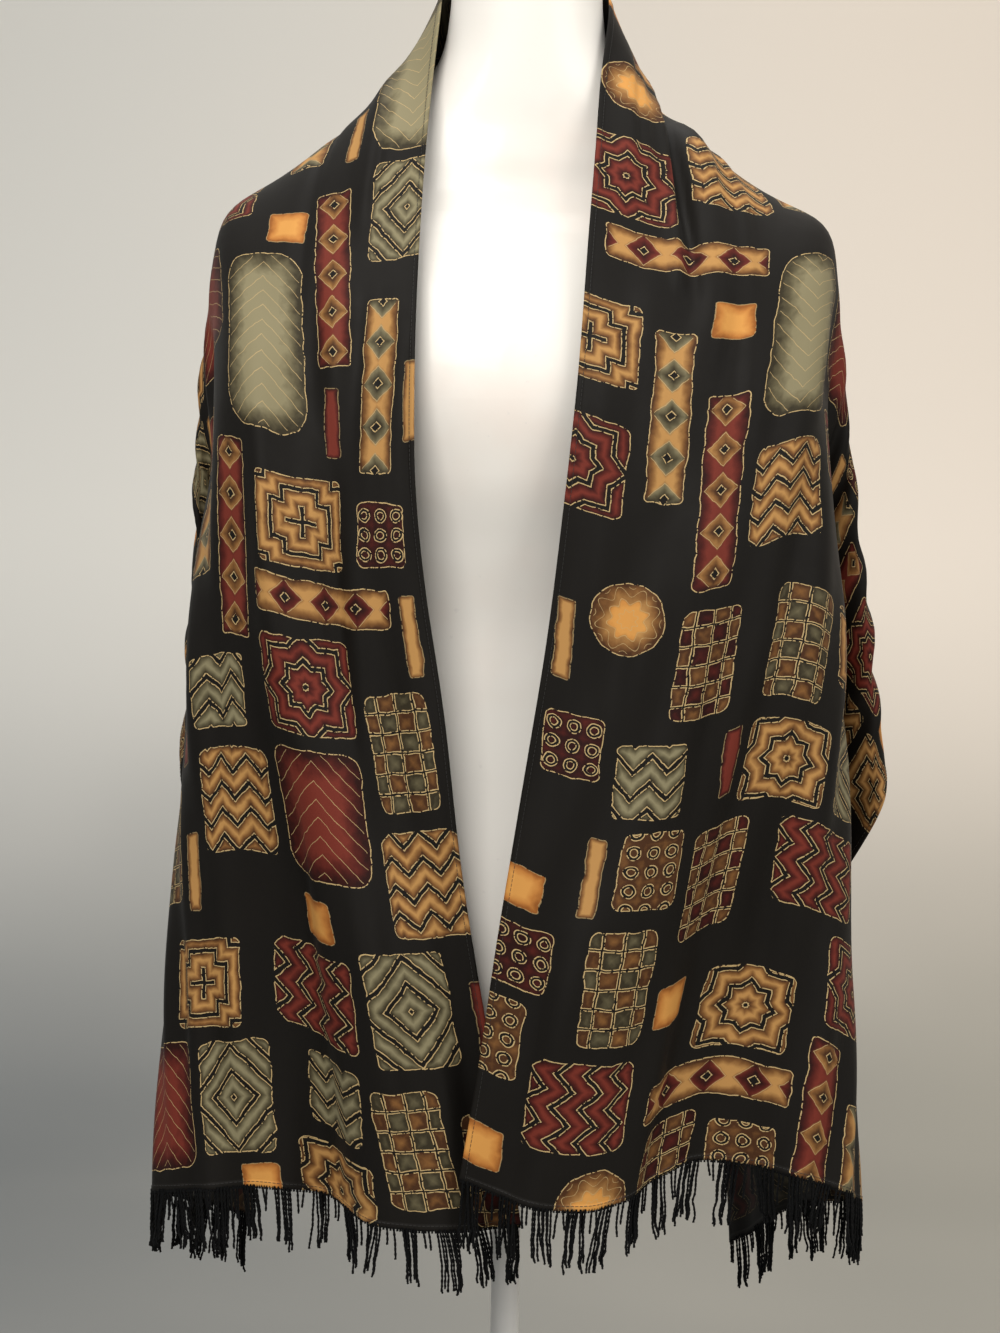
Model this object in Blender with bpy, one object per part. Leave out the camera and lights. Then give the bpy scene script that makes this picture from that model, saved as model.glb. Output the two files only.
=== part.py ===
"""A fringed oblong shawl, worn open over a limbless dress form on a floor stand.

Metres, +Z up. The front faces -Y and the stand's axis is the Z axis. Right is the side at +X.
The shawl is one rectangle of cloth. A point of it is named by two distances on the flat cloth:
along, from the middle of the nape towards a fringed end, and across, from the neck edge outwards.
"""

import math

import bmesh
import bpy
import numpy as np

# The cloth, as cut.
CLOTH_LENGTH = 1.92
CLOTH_WIDTH = 0.48
CLOTH_WALL = 0.0016
SEAM_GAP = 0.0004
HALF_LENGTH = CLOTH_LENGTH / 2

# The point of the cloth that lies on the shoulder tip.
ALONG_SHOULDER = 0.28
ACROSS_SHOULDER = 0.16

# The grid that the cloth is worked out on, and the coarser one that its walls are made on.
FINE_STEP = 0.005
LINE_POINTS = 1200
FRONT_ROWS = 27
BACK_ROWS = 13
INNER_COLUMNS = 7
OUTER_COLUMNS = 18

# The fringe: a woven head, and groups of three long strands and a short one.
FRINGE_HEAD = 0.005
FRINGE_WALL = 0.0018
FRINGE_GROUPS = 22
LONG_STRAND = 0.038
SHORT_STRAND = 0.018
STRAND_WIDTH = 0.0020
STRAND_TAPER = 0.7
STRAND_SWAY = 0.002
STRAND_SLOTS = (0.14, 0.32, 0.50, 0.80)
FRINGE_INSET = 0.0005
LENGTH_VARIES = 0.10
LENGTH_TURN = 2.4
SWAY_TURN = 0.12

# The stand.
POLE_RADIUS = 0.010
BASE_RADIUS = 0.165
BASE_THICKNESS = 0.009
BASE_EASE = 0.003
SOCKET_RADIUS = 0.022
SOCKET_HEIGHT = 0.030
SOCKET_NECK = 0.008
SOCKET_EASE = 0.003
SOCKET_TAPER = 0.002
ROUND_STEPS = 32
PIECE_GAP = 0.0003

# Lines of the cloth from the middle of the back, over the shoulder and down the front to the hem, as
# x outwards, y, z. The neck edge is at across 0, the middle line at half of ACROSS_SHOULDER, and the
# fall line at ACROSS_SHOULDER passes over the shoulder tip.
NECK_EDGE = {
    "right": (
        (0.0000, 0.084, 1.500),
        (0.0360, 0.070, 1.501),
        (0.0570, 0.032, 1.502),
        (0.0590, -0.006, 1.484),
        (0.0520, -0.042, 1.421),
        (0.0490, -0.068, 1.374),
        (0.0441, -0.097, 1.307),
        (0.0371, -0.126, 1.200),
        (0.0300, -0.133, 1.122),
        (0.0187, -0.137, 1.020),
        (0.0043, -0.139, 0.926),
        (-0.0106, -0.140, 0.824),
        (-0.0217, -0.140, 0.736),
        (-0.0312, -0.139, 0.670),
    ),
    "left": (
        (0.0000, 0.084, 1.500),
        (0.0360, 0.070, 1.505),
        (0.0595, 0.032, 1.506),
        (0.0605, -0.006, 1.486),
        (0.0665, -0.050, 1.402),
        (0.0685, -0.072, 1.364),
        (0.0710, -0.101, 1.289),
        (0.0718, -0.125, 1.200),
        (0.0700, -0.131, 1.130),
        (0.0643, -0.131, 1.078),
        (0.0480, -0.128, 0.978),
        (0.0366, -0.125, 0.890),
        (0.0194, -0.120, 0.784),
        (-0.0094, -0.113, 0.634),
    ),
}
MIDDLE_LINE = {
    "right": (
        (0.000, 0.108, 1.416),
        (0.057, 0.104, 1.416),
        (0.097, 0.078, 1.406),
        (0.116, 0.036, 1.394),
        (0.126, -0.002, 1.387),
        (0.132, -0.040, 1.352),
        (0.131, -0.078, 1.300),
        (0.124, -0.120, 1.210),
        (0.112, -0.136, 1.100),
        (0.098, -0.141, 0.980),
        (0.081, -0.144, 0.850),
        (0.065, -0.146, 0.740),
        (0.052, -0.147, 0.652),
    ),
    "left": (
        (0.000, 0.108, 1.416),
        (0.057, 0.104, 1.416),
        (0.099, 0.078, 1.410),
        (0.120, 0.036, 1.402),
        (0.130, -0.002, 1.394),
        (0.136, -0.040, 1.364),
        (0.139, -0.078, 1.306),
        (0.138, -0.118, 1.210),
        (0.134, -0.132, 1.100),
        (0.122, -0.134, 0.980),
        (0.106, -0.133, 0.850),
        (0.090, -0.131, 0.740),
        (0.072, -0.129, 0.637),
    ),
}
FALL_LINE = {
    "right": (
        (0.000, 0.114, 1.340),
        (0.080, 0.110, 1.342),
        (0.150, 0.088, 1.346),
        (0.200, 0.048, 1.347),
        (0.222, 0.002, 1.337),
        (0.221, -0.034, 1.311),
        (0.213, -0.070, 1.254),
        (0.196, -0.102, 1.170),
        (0.180, -0.116, 1.060),
        (0.164, -0.122, 0.940),
        (0.147, -0.124, 0.810),
        (0.130, -0.122, 0.679),
    ),
    "left": (
        (0.000, 0.114, 1.340),
        (0.080, 0.110, 1.342),
        (0.150, 0.088, 1.346),
        (0.198, 0.048, 1.347),
        (0.217, 0.002, 1.338),
        (0.217, -0.034, 1.312),
        (0.211, -0.070, 1.258),
        (0.201, -0.101, 1.170),
        (0.191, -0.114, 1.060),
        (0.181, -0.117, 0.940),
        (0.169, -0.114, 0.810),
        (0.157, -0.108, 0.657),
    ),
}

# Pleats below the shoulder tip: the direction on the cloth in degrees, from the fall line round to the
# back, how far the cloth there leans outwards and back for each metre that it hangs, and the share of
# its length that small creases take up.
PLEATS = {
    "right": (
        (0.0, -0.135, -0.180, 0.000),
        (7.0, -0.010, -0.150, 0.004),
        (11.0, 0.034, -0.090, -0.002),
        (18.0, -0.015, 0.025, 0.018),
        (25.2, -0.070, 0.135, -0.008),
        (30.0, -0.085, 0.195, 0.004),
        (35.0, -0.040, 0.175, 0.012),
        (44.0, 0.060, 0.060, 0.018),
        (49.0, 0.105, 0.035, 0.018),
        (54.0, 0.118, 0.085, 0.018),
        (61.0, 0.060, 0.190, 0.018),
        (66.0, 0.050, 0.245, 0.018),
        (74.0, 0.110, 0.255, 0.018),
        (82.0, 0.080, 0.310, 0.018),
        (90.0, 0.000, 0.340, 0.018),
    ),
    "left": (
        (0.0, -0.100, -0.170, 0.000),
        (7.0, 0.000, -0.140, 0.005),
        (11.0, 0.038, -0.085, 0.010),
        (18.0, 0.005, 0.025, 0.017),
        (25.2, -0.035, 0.135, 0.018),
        (29.5, -0.046, 0.190, 0.018),
        (34.0, -0.012, 0.200, 0.018),
        (40.0, 0.018, 0.125, 0.018),
        (46.0, 0.036, 0.070, 0.018),
        (50.0, 0.055, 0.080, 0.018),
        (55.0, 0.060, 0.130, 0.018),
        (61.0, 0.034, 0.205, 0.018),
        (66.0, 0.034, 0.255, 0.018),
        (74.0, 0.080, 0.265, 0.018),
        (82.0, 0.062, 0.315, 0.018),
        (90.0, 0.000, 0.340, 0.018),
    ),
}
PLEATS_OPEN_FROM = 0.04
PLEATS_OPEN_BY = 0.30
PLAIN_BULGE = 0.16
FALL_FADES_BY = 20.0

# How much the cloth evens out, as a share of each pass, and the passes.
EVENING = 0.35
EVENING_PASSES = 24

# Soft folds: where each starts and ends along the cloth and across it, how far it stands out, negative
# for a trough, its half width, and the length over which it grows and dies away.
FRONT_FOLDS = {
    "right": (
        (0.115, 0.300, 0.018, 0.030, 0.006, 0.012, 0.06),
        (0.115, 0.320, 0.045, 0.062, -0.006, 0.012, 0.06),
        (0.130, 0.420, 0.062, 0.090, 0.007, 0.014, 0.08),
        (0.420, 0.900, 0.110, 0.060, 0.008, 0.030, 0.15),
        (0.600, 1.300, 0.165, 0.165, -0.026, 0.050, 0.28),
        (0.650, 1.300, 0.060, 0.050, 0.010, 0.040, 0.25),
    ),
    "left": (
        (0.120, 0.330, 0.035, 0.045, 0.005, 0.014, 0.06),
        (0.330, 0.760, 0.135, 0.100, 0.013, 0.026, 0.12),
        (0.340, 0.800, 0.090, 0.060, -0.008, 0.028, 0.12),
        (0.560, 1.300, 0.082, 0.075, 0.020, 0.030, 0.25),
        (0.560, 1.300, 0.135, 0.125, -0.018, 0.030, 0.25),
    ),
}
BACK_FOLDS = (
    # across from, full depth at, along, depth, half width
    (0.150, 0.480, 0.000, -0.010, 0.034),
    (0.170, 0.480, 0.066, 0.014, 0.032),
    (0.170, 0.480, 0.124, -0.012, 0.030),
    (0.180, 0.480, 0.184, 0.016, 0.032),
    (0.190, 0.480, 0.238, -0.010, 0.026),
)
BACK_FOLD_POWER = 1.3
BACK_LEAN_FROM = 0.08
BACK_FOLDS_FADE = (0.30, 0.22)

# Sections of the dress form from its lower edge to the top of its neck, as height, half width, depth in
# front, depth behind, and the exponent that squares the outline.
FORM_SECTIONS = (
    (0.748, 0.128, 0.078, 0.082, 2.1),
    (0.752, 0.146, 0.090, 0.098, 2.1),
    (0.770, 0.158, 0.097, 0.108, 2.2),
    (0.815, 0.166, 0.100, 0.114, 2.2),
    (0.870, 0.163, 0.098, 0.112, 2.2),
    (0.930, 0.145, 0.092, 0.100, 2.2),
    (0.990, 0.124, 0.087, 0.088, 2.2),
    (1.040, 0.117, 0.086, 0.082, 2.2),
    (1.090, 0.124, 0.095, 0.084, 2.2),
    (1.140, 0.137, 0.109, 0.089, 2.2),
    (1.190, 0.148, 0.115, 0.094, 2.2),
    (1.240, 0.158, 0.106, 0.098, 2.2),
    (1.280, 0.174, 0.089, 0.100, 2.3),
    (1.310, 0.188, 0.071, 0.097, 2.3),
    (1.326, 0.187, 0.058, 0.090, 2.2),
    (1.343, 0.167, 0.050, 0.084, 2.1),
    (1.367, 0.136, 0.047, 0.080, 2.0),
    (1.389, 0.107, 0.045, 0.077, 2.0),
    (1.413, 0.082, 0.045, 0.074, 2.0),
    (1.441, 0.063, 0.045, 0.070, 2.0),
    (1.475, 0.0555, 0.045, 0.067, 2.0),
    (1.510, 0.0545, 0.045, 0.065, 2.0),
    (1.545, 0.0540, 0.045, 0.065, 2.0),
    (1.552, 0.0490, 0.040, 0.060, 2.0),
)
FORM_STEPS = 32

CLOTH_BLACK = (0.012, 0.011, 0.012, 1.0)
FORM_WHITE = (0.86, 0.83, 0.80, 1.0)
STAND_WHITE = (0.80, 0.79, 0.77, 1.0)


def clear_scene():
    for obj in list(bpy.data.objects):
        bpy.data.objects.remove(obj, do_unlink=True)


def make_material(name, colour, roughness, metallic=0.0):
    material = bpy.data.materials.new(name)
    material.use_nodes = True
    shader = material.node_tree.nodes["Principled BSDF"]
    shader.inputs["Base Color"].default_value = colour
    shader.inputs["Roughness"].default_value = roughness
    shader.inputs["Metallic"].default_value = metallic
    return material


def finish_mesh(name, bm, material):
    """Closes the making of one piece: faces out, smooth where round, one named object."""
    bmesh.ops.recalc_face_normals(bm, faces=bm.faces)
    mesh = bpy.data.meshes.new(name)
    bm.to_mesh(mesh)
    bm.free()
    mesh.materials.append(material)
    mesh.shade_smooth()
    mesh.set_sharp_from_angle(angle=math.radians(40))
    obj = bpy.data.objects.new(name, mesh)
    bpy.context.collection.objects.link(obj)
    return obj


def smoothstep(low, high, value):
    share = np.clip((value - low) / (high - low), 0.0, 1.0)
    return share * share * (3.0 - 2.0 * share)


def spline(place, values, at):
    """A smooth curve through values, which stand at the given places along it."""
    step = np.diff(place)
    slope = np.diff(values, axis=0) / step[:, None]
    tangent = np.vstack([slope[:1], slope[:-1], slope[-1:]])[: len(values)]
    before, after = step[:-1, None], step[1:, None]
    tangent[1:-1] = (slope[:-1] * after + slope[1:] * before) / (before + after)
    tangent[-1] = slope[-1]
    i = np.clip(np.searchsorted(place, at) - 1, 0, len(step) - 1)
    h = step[i][..., None]
    u = (at - place[i])[..., None] / h
    near = (1 + 2 * u) * (1 - u) ** 2 * values[i] + u * (1 - u) ** 2 * h * tangent[i]
    far = u * u * (3 - 2 * u) * values[i + 1] - u * u * (1 - u) * h * tangent[i + 1]
    return near + far


def run_of_line(line, along):
    """Points of one line of the cloth, from the left hem, round the back, to the right hem."""
    left = np.array(line["left"]) * (-1, 1, 1)
    points = np.vstack([left[:0:-1], line["right"]])
    place = np.concatenate([[0], np.cumsum(np.linalg.norm(np.diff(points, axis=0), axis=1))])
    dense_place = np.linspace(0, place[-1], LINE_POINTS)
    dense = spline(place, points, dense_place)
    run = np.concatenate([[0], np.cumsum(np.linalg.norm(np.diff(dense, axis=0), axis=1))])
    nape = np.interp(place[len(left) - 1], dense_place, run)
    left_share = (run - nape) / nape
    right_share = (run - nape) / (run[-1] - nape)
    share = np.where(run < nape, left_share, right_share)
    return np.column_stack([np.interp(along / HALF_LENGTH, share, dense[:, k]) for k in range(3)])


def below_shoulder(side, tip, fall, ahead, outward):
    """Points of the cloth that hangs from the shoulder tip, in front of it and outside it.

    ahead and outward are the distances on the cloth from the tip, along and across."""
    reach = np.hypot(ahead, outward)
    angle = np.degrees(np.arctan2(outward, np.maximum(ahead, 1e-9)))
    rows = np.array(PLEATS[side])
    from_rows = spline(rows[:, 0], rows[:, 1:], angle)
    pleated, taken_up = from_rows[..., :2], from_rows[..., 2:]
    first, last = rows[0, 1:3], rows[-1, 1:3]
    turn = smoothstep(0.0, 90.0, angle)[..., None]
    bulge = np.array([PLAIN_BULGE, 0.0]) * np.sin(np.pi * turn)
    plain = first + (last - first) * turn + bulge
    opened = smoothstep(PLEATS_OPEN_FROM, PLEATS_OPEN_BY, reach)[..., None]
    lean = plain + (pleated - plain) * opened
    drop = 1.0 / np.sqrt(1.0 + (lean**2).sum(-1, keepdims=True))
    ray = np.concatenate([lean, -np.ones_like(drop)], -1) * drop
    straight = np.append(first, -1.0) / math.sqrt(1.0 + (first**2).sum())
    run = np.arange(len(fall)) * FINE_STEP
    bend = fall - tip - run[:, None] * straight
    at_reach = np.stack([np.interp(reach, run, bend[:, k]) for k in range(3)], -1)
    fades = 1.0 - smoothstep(0.0, FALL_FADES_BY, angle)[..., None]
    hang = reach[..., None] * (1.0 - taken_up)
    return tip + hang * ray + at_reach * fades


def fold_height(along, across, folds):
    total = np.zeros(np.broadcast(along, across).shape)
    for start, end, from_across, to_across, depth, half_width, fade in folds:
        share = np.clip((along - start) / (end - start), 0.0, 1.0)
        middle = from_across + (to_across - from_across) * share
        width = np.exp(-(((across - middle) / half_width) ** 2))
        length = smoothstep(start, start + fade, along) * (1 - smoothstep(end - fade, end, along))
        total += depth * width * length
    return total


def back_fold_height(along, across):
    total = np.zeros(np.broadcast(along, across).shape)
    for start, full, middle, depth, half_width in BACK_FOLDS:
        grown = np.clip((across - start) / (full - start), 0.0, 1.0) ** BACK_FOLD_POWER
        for side in (-1, 1) if middle else (1,):
            total += depth * grown * np.exp(-(((along - side * middle) / half_width) ** 2))
    return total


def soften(points):
    """Evens the cloth out, its edges apart."""
    for _ in range(EVENING_PASSES):
        even = points.copy()
        even[1:-1] = (points[:-2] + points[2:]) / 2
        points = points + (even - points) * EVENING
        even = points.copy()
        even[:, 1:-1] = (points[:, :-2] + points[:, 2:]) / 2
        points = points + (even - points) * EVENING
    return points


def draped_cloth():
    """The middle of the cloth as a fine grid of points, with the places of its rows and columns."""
    along = np.arange(-round(HALF_LENGTH / FINE_STEP), round(HALF_LENGTH / FINE_STEP) + 1) * FINE_STEP
    across = np.arange(round(CLOTH_WIDTH / FINE_STEP) + 1) * FINE_STEP
    neck, middle, fall = (run_of_line(line, along) for line in (NECK_EDGE, MIDDLE_LINE, FALL_LINE))
    share = (across / ACROSS_SHOULDER)[None, :, None]
    neck_part = (1 - share) * (1 - 2 * share) * neck[:, None]
    middle_part = 4 * share * (1 - share) * middle[:, None]
    fall_part = share * (2 * share - 1) * fall[:, None]
    points = neck_part + middle_part + fall_part

    outer = across > ACROSS_SHOULDER
    outward = across[outer] - ACROSS_SHOULDER
    lean_out = 0.0
    for side, sign in (("left", -1), ("right", 1)):
        front = sign * along >= ALONG_SHOULDER - FINE_STEP / 2
        order = np.flatnonzero(front)[::sign]
        hang = fall[order] * (sign, 1, 1)
        ahead = np.abs(along[order]) - ALONG_SHOULDER
        hung = below_shoulder(side, hang[0], hang, ahead[:, None], outward[None, :])
        points[np.ix_(order, np.flatnonzero(outer))] = hung * (sign, 1, 1)
        lean_out, lean_back = PLEATS[side][-1][1:3]
    back = np.abs(along) < ALONG_SHOULDER - FINE_STEP / 2
    share = smoothstep(BACK_LEAN_FROM, ALONG_SHOULDER, np.abs(along[back]))
    lean = np.column_stack([lean_out * share * np.sign(along[back]), lean_back * share])
    down = np.column_stack([lean, -np.ones(len(lean))])
    down /= np.linalg.norm(down, axis=1)[:, None]
    hung = fall[back][:, None] + outward[None, :, None] * down[:, None]
    points[np.ix_(np.flatnonzero(back), np.flatnonzero(outer))] = hung

    points = soften(points)
    grid_along, grid_across = along[:, None], across[None, :]
    back_part = smoothstep(*BACK_FOLDS_FADE, np.abs(grid_along))
    height = back_fold_height(grid_along, grid_across) * back_part
    for side, sign in (("left", -1), ("right", 1)):
        height = height + fold_height(sign * grid_along, grid_across, FRONT_FOLDS[side])
    points = points + height[..., None] * face_directions(points)
    return along, across, points


def face_directions(points):
    """Unit vectors that point out of the cloth's outer face at each point of a grid."""
    normal = np.cross(np.gradient(points, axis=0), np.gradient(points, axis=1))
    return normal / np.linalg.norm(normal, axis=-1, keepdims=True)


def sample(places, values, at):
    """Rows of a grid at given places, between its own rows."""
    i = np.clip(np.searchsorted(places, at) - 1, 0, len(places) - 2)
    share = (at - places[i]) / (places[i + 1] - places[i])
    share = share.reshape(-1, *([1] * (values.ndim - 1)))
    return values[i] * (1 - share) + values[i + 1] * share


def sample_grid(along, across, values, rows, columns):
    by_rows = sample(along, values, rows)
    return sample(across, by_rows.swapaxes(0, 1), columns).swapaxes(0, 1)


def bridge(bm, first, second):
    """Quads between two equal runs of vertices."""
    for k in range(len(first) - 1):
        bm.faces.new((first[k], first[k + 1], second[k + 1], second[k]))


def cloth_wall(name, points, normals, material):
    """A closed wall of cloth on a grid of points."""
    bm = bmesh.new()
    sheets = []
    for offset in (CLOTH_WALL / 2, -CLOTH_WALL / 2):
        moved = points + normals * offset
        sheets.append([[bm.verts.new(p) for p in row] for row in moved])
    for sheet in sheets:
        for row, next_row in zip(sheet, sheet[1:]):
            bridge(bm, row, next_row)
    outer, inner = sheets
    bridge(bm, outer[0], inner[0])
    bridge(bm, outer[-1], inner[-1])
    bridge(bm, [row[0] for row in outer], [row[0] for row in inner])
    bridge(bm, [row[-1] for row in outer], [row[-1] for row in inner])
    return finish_mesh(name, bm, material)


def fringe_stations():
    """Where the strands' edges stand along the hem, with each strand's length or 0 for a gap."""
    pitch = CLOTH_WIDTH / FRINGE_GROUPS
    edges, lengths = [FRINGE_INSET], []
    for group in range(FRINGE_GROUPS):
        for strand, share in enumerate(STRAND_SLOTS):
            slot = pitch * (group + share)
            last = strand == len(STRAND_SLOTS) - 1
            wave = 1.0 + LENGTH_VARIES * math.sin(LENGTH_TURN * len(lengths))
            lengths += [0.0, (SHORT_STRAND if last else LONG_STRAND) * wave]
            edges += [slot - STRAND_WIDTH / 2, slot + STRAND_WIDTH / 2]
    edges.append(CLOTH_WIDTH - FRINGE_INSET)
    lengths.append(0.0)
    return np.array(edges), lengths


def fringe(name, across, hem, before_hem, normals, material):
    """A narrow woven head just below the hem, with strands that hang from it."""
    edges, lengths = fringe_stations()
    line = sample(across, hem, edges)
    down = line - sample(across, before_hem, edges)
    down /= np.linalg.norm(down, axis=1)[:, None]
    normal = sample(across, normals, edges)
    top = line + down * PIECE_GAP
    bottom = top + down * FRINGE_HEAD
    offset = normal * FRINGE_WALL / 2
    bm = bmesh.new()
    corners = []
    for run in (top + offset, top - offset, bottom + offset, bottom - offset):
        corners.append([bm.verts.new(p) for p in run])
    top_out, top_in, bottom_out, bottom_in = corners
    bridge(bm, top_out, top_in)
    bridge(bm, top_out, bottom_out)
    bridge(bm, top_in, bottom_in)
    for k, length in enumerate(lengths):
        root = [bottom_out[k], bottom_out[k + 1], bottom_in[k + 1], bottom_in[k]]
        if length:
            middle = sum((v.co.copy() for v in root[1:]), root[0].co.copy()) / len(root)
            sway = STRAND_SWAY * math.sin(SWAY_TURN * k)
            tips = []
            for v in root:
                place = middle + (v.co - middle) * STRAND_TAPER
                place.x += sway
                place.y += sway
                place.z -= length
                tips.append(bm.verts.new(place))
            bridge(bm, root + root[:1], tips + tips[:1])
            bm.faces.new(tips)
        else:
            bm.faces.new(root)
    for k in (0, -1):
        bm.faces.new((top_out[k], top_in[k], bottom_in[k], bottom_out[k]))
    return finish_mesh(name, bm, material)


def stack_of_rings(name, rings, material):
    """A closed solid through rings of points, flat at both ends."""
    bm = bmesh.new()
    loops = [[bm.verts.new(p) for p in ring] for ring in rings]
    for lower, upper in zip(loops, loops[1:]):
        bridge(bm, lower + lower[:1], upper + upper[:1])
    bm.faces.new(loops[0])
    bm.faces.new(loops[-1])
    return finish_mesh(name, bm, material)


def form_ring(height, half_width, front, back, square):
    angle = np.arange(FORM_STEPS) / FORM_STEPS * 2 * math.pi
    x = half_width * np.sign(np.cos(angle)) * np.abs(np.cos(angle)) ** (2 / square)
    depth = np.where(np.sin(angle) > 0, back, front)
    y = depth * np.sign(np.sin(angle)) * np.abs(np.sin(angle)) ** (2 / square)
    return np.column_stack([x, y, np.full(FORM_STEPS, height)])


def round_ring(radius, height):
    angle = np.arange(ROUND_STEPS) / ROUND_STEPS * 2 * math.pi
    return np.column_stack([radius * np.cos(angle), radius * np.sin(angle), np.full(ROUND_STEPS, height)])


def make_stand(form_bottom):
    paint = make_material("stand_paint", STAND_WHITE, 0.45)
    plate = (
        (BASE_RADIUS - BASE_EASE / 2, 0.0),
        (BASE_RADIUS, BASE_EASE / 2),
        (BASE_RADIUS, BASE_THICKNESS - BASE_EASE),
        (BASE_RADIUS - BASE_EASE, BASE_THICKNESS),
    )
    foot = BASE_THICKNESS + PIECE_GAP
    top = foot + SOCKET_HEIGHT
    socket = (
        (SOCKET_RADIUS, foot),
        (SOCKET_RADIUS, top - SOCKET_NECK),
        (SOCKET_RADIUS - SOCKET_TAPER, top - SOCKET_EASE),
        (SOCKET_RADIUS - SOCKET_TAPER - SOCKET_EASE, top),
    )
    stack_of_rings("base_plate", [round_ring(*row) for row in plate], paint)
    stack_of_rings("pole_socket", [round_ring(*row) for row in socket], paint)
    foot, head = top + PIECE_GAP, form_bottom - PIECE_GAP
    stack_of_rings("pole", [round_ring(POLE_RADIUS, z) for z in (foot, head)], paint)


def make_form():
    shell = make_material("form_shell", FORM_WHITE, 0.35)
    stack_of_rings("dress_form", [form_ring(*row) for row in FORM_SECTIONS], shell)


def make_shawl():
    """The cloth in six stretches, and the fringe at both ends."""
    cloth = make_material("shawl_cloth", CLOTH_BLACK, 0.55)
    yarn = make_material("fringe_yarn", CLOTH_BLACK, 0.70)
    along, across, points = draped_cloth()
    half_gap = SEAM_GAP / 2
    inner = np.linspace(0, ACROSS_SHOULDER - half_gap, INNER_COLUMNS + 1)
    outer = np.linspace(ACROSS_SHOULDER + half_gap, CLOTH_WIDTH, OUTER_COLUMNS + 1)
    back = np.linspace(half_gap, ALONG_SHOULDER - half_gap, BACK_ROWS + 1)
    front = np.linspace(ALONG_SHOULDER + half_gap, HALF_LENGTH, FRONT_ROWS + 1)
    rows = np.concatenate([-front[::-1], -back[::-1], back, front])
    columns = np.concatenate([inner, outer])
    grid = sample_grid(along, across, points, rows, columns)
    normals = sample_grid(along, across, face_directions(points), rows, columns)
    normals /= np.linalg.norm(normals, axis=-1, keepdims=True)

    is_inner = np.arange(len(columns)) < len(inner)
    is_whole = np.arange(len(columns)) != len(inner)
    for side, sign in (("left", -1), ("right", 1)):
        is_front = sign * rows > ALONG_SHOULDER
        is_back = (sign * rows > 0) & ~is_front
        for part, of_rows, of_columns in (
            ("front", is_front, is_inner),
            ("side", is_front, ~is_inner),
            ("back", is_back, is_whole),
        ):
            block = np.ix_(of_rows, of_columns)
            cloth_wall(f"shawl_{side}_{part}", grid[block], normals[block], cloth)
    fringe("left_fringe", columns, grid[0], grid[1], normals[0], yarn)
    fringe("right_fringe", columns, grid[-1], grid[-2], normals[-1], yarn)


clear_scene()
make_stand(FORM_SECTIONS[0][0])
make_form()
make_shawl()
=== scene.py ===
# %% [markdown]
# # A fringed shawl on a dress form
# The model comes as a fixed frame: plain solids with their real sizes, in metres, +Z up, with the
# front at -Y. This script dresses them. Whatever it makes has to lie where those solids lie, so the
# frame is loaded first.

# %% Load the frame
import math

import bmesh
import bpy
import numpy as np
from mathutils import Matrix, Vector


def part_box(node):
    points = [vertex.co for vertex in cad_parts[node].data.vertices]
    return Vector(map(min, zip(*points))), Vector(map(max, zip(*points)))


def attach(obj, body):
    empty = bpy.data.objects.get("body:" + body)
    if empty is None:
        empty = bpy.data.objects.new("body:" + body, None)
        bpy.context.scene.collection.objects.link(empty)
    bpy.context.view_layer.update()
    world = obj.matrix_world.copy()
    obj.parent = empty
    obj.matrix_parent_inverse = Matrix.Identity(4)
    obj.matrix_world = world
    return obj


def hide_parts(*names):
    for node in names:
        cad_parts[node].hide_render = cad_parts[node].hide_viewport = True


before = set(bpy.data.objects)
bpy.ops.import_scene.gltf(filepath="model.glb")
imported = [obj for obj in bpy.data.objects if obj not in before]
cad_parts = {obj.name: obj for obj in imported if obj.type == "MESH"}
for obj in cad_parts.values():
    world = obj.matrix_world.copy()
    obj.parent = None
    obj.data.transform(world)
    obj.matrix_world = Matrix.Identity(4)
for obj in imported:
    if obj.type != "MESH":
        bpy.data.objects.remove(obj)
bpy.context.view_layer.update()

print("nodes:", ", ".join(sorted(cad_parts)))

# %% [markdown]
# ## The camera
# A photograph fixes the camera: how far away it stood, how high, and how long its lens was. Here it
# stood level with the waist, 1.9 m in front of the stand's axis, and was held a degree askew. The
# field of view is set over the picture's height, so the sensor is fitted vertically.

# %% Camera
CAMERA_PLACE = (-0.0112, -1.90, 1.01)
CAMERA_ROLL = 0.01705
PICTURE_HEIGHT = 1333
FOCAL_PIXELS = 2655
SENSOR_HEIGHT = 24.0


def put(name, data):
    """A new object in the scene that holds a mesh, a lamp or a camera."""
    obj = bpy.data.objects.new(name, data)
    bpy.context.collection.objects.link(obj)
    return obj


camera_data = bpy.data.cameras.new("camera")
camera_data.sensor_fit = "VERTICAL"
camera_data.sensor_height = SENSOR_HEIGHT
camera_data.lens = SENSOR_HEIGHT * FOCAL_PIXELS / PICTURE_HEIGHT
camera = put("camera", camera_data)
camera.matrix_world = (
    Matrix.Translation(CAMERA_PLACE)
    @ Matrix.Rotation(math.radians(90), 4, "X")
    @ Matrix.Rotation(CAMERA_ROLL, 4, "Z")
)
bpy.context.scene.camera = camera
print(f"lens {camera_data.lens:.1f} mm")

# %% [markdown]
# ## Finishes as arithmetic
# A material in Blender is a tree of nodes. Long sums of Math nodes are hard to read when every node
# is made and linked by hand, so two small classes do it. `Finish` makes any node from its type, its
# settings and its sockets, and `Value` wraps a socket so that `1 - mask` adds the node it needs.


# %% Helpers for nodes
def fill(tree, socket, value):
    """Links a socket to a node's output, or sets it to a plain number, colour or name."""
    if isinstance(value, Value):
        value = value.socket
    if isinstance(value, bpy.types.NodeSocket):
        tree.links.new(value, socket)
    elif socket.type == "RGBA":
        socket.default_value = (*value, 1.0)
    else:
        socket.default_value = value


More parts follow.
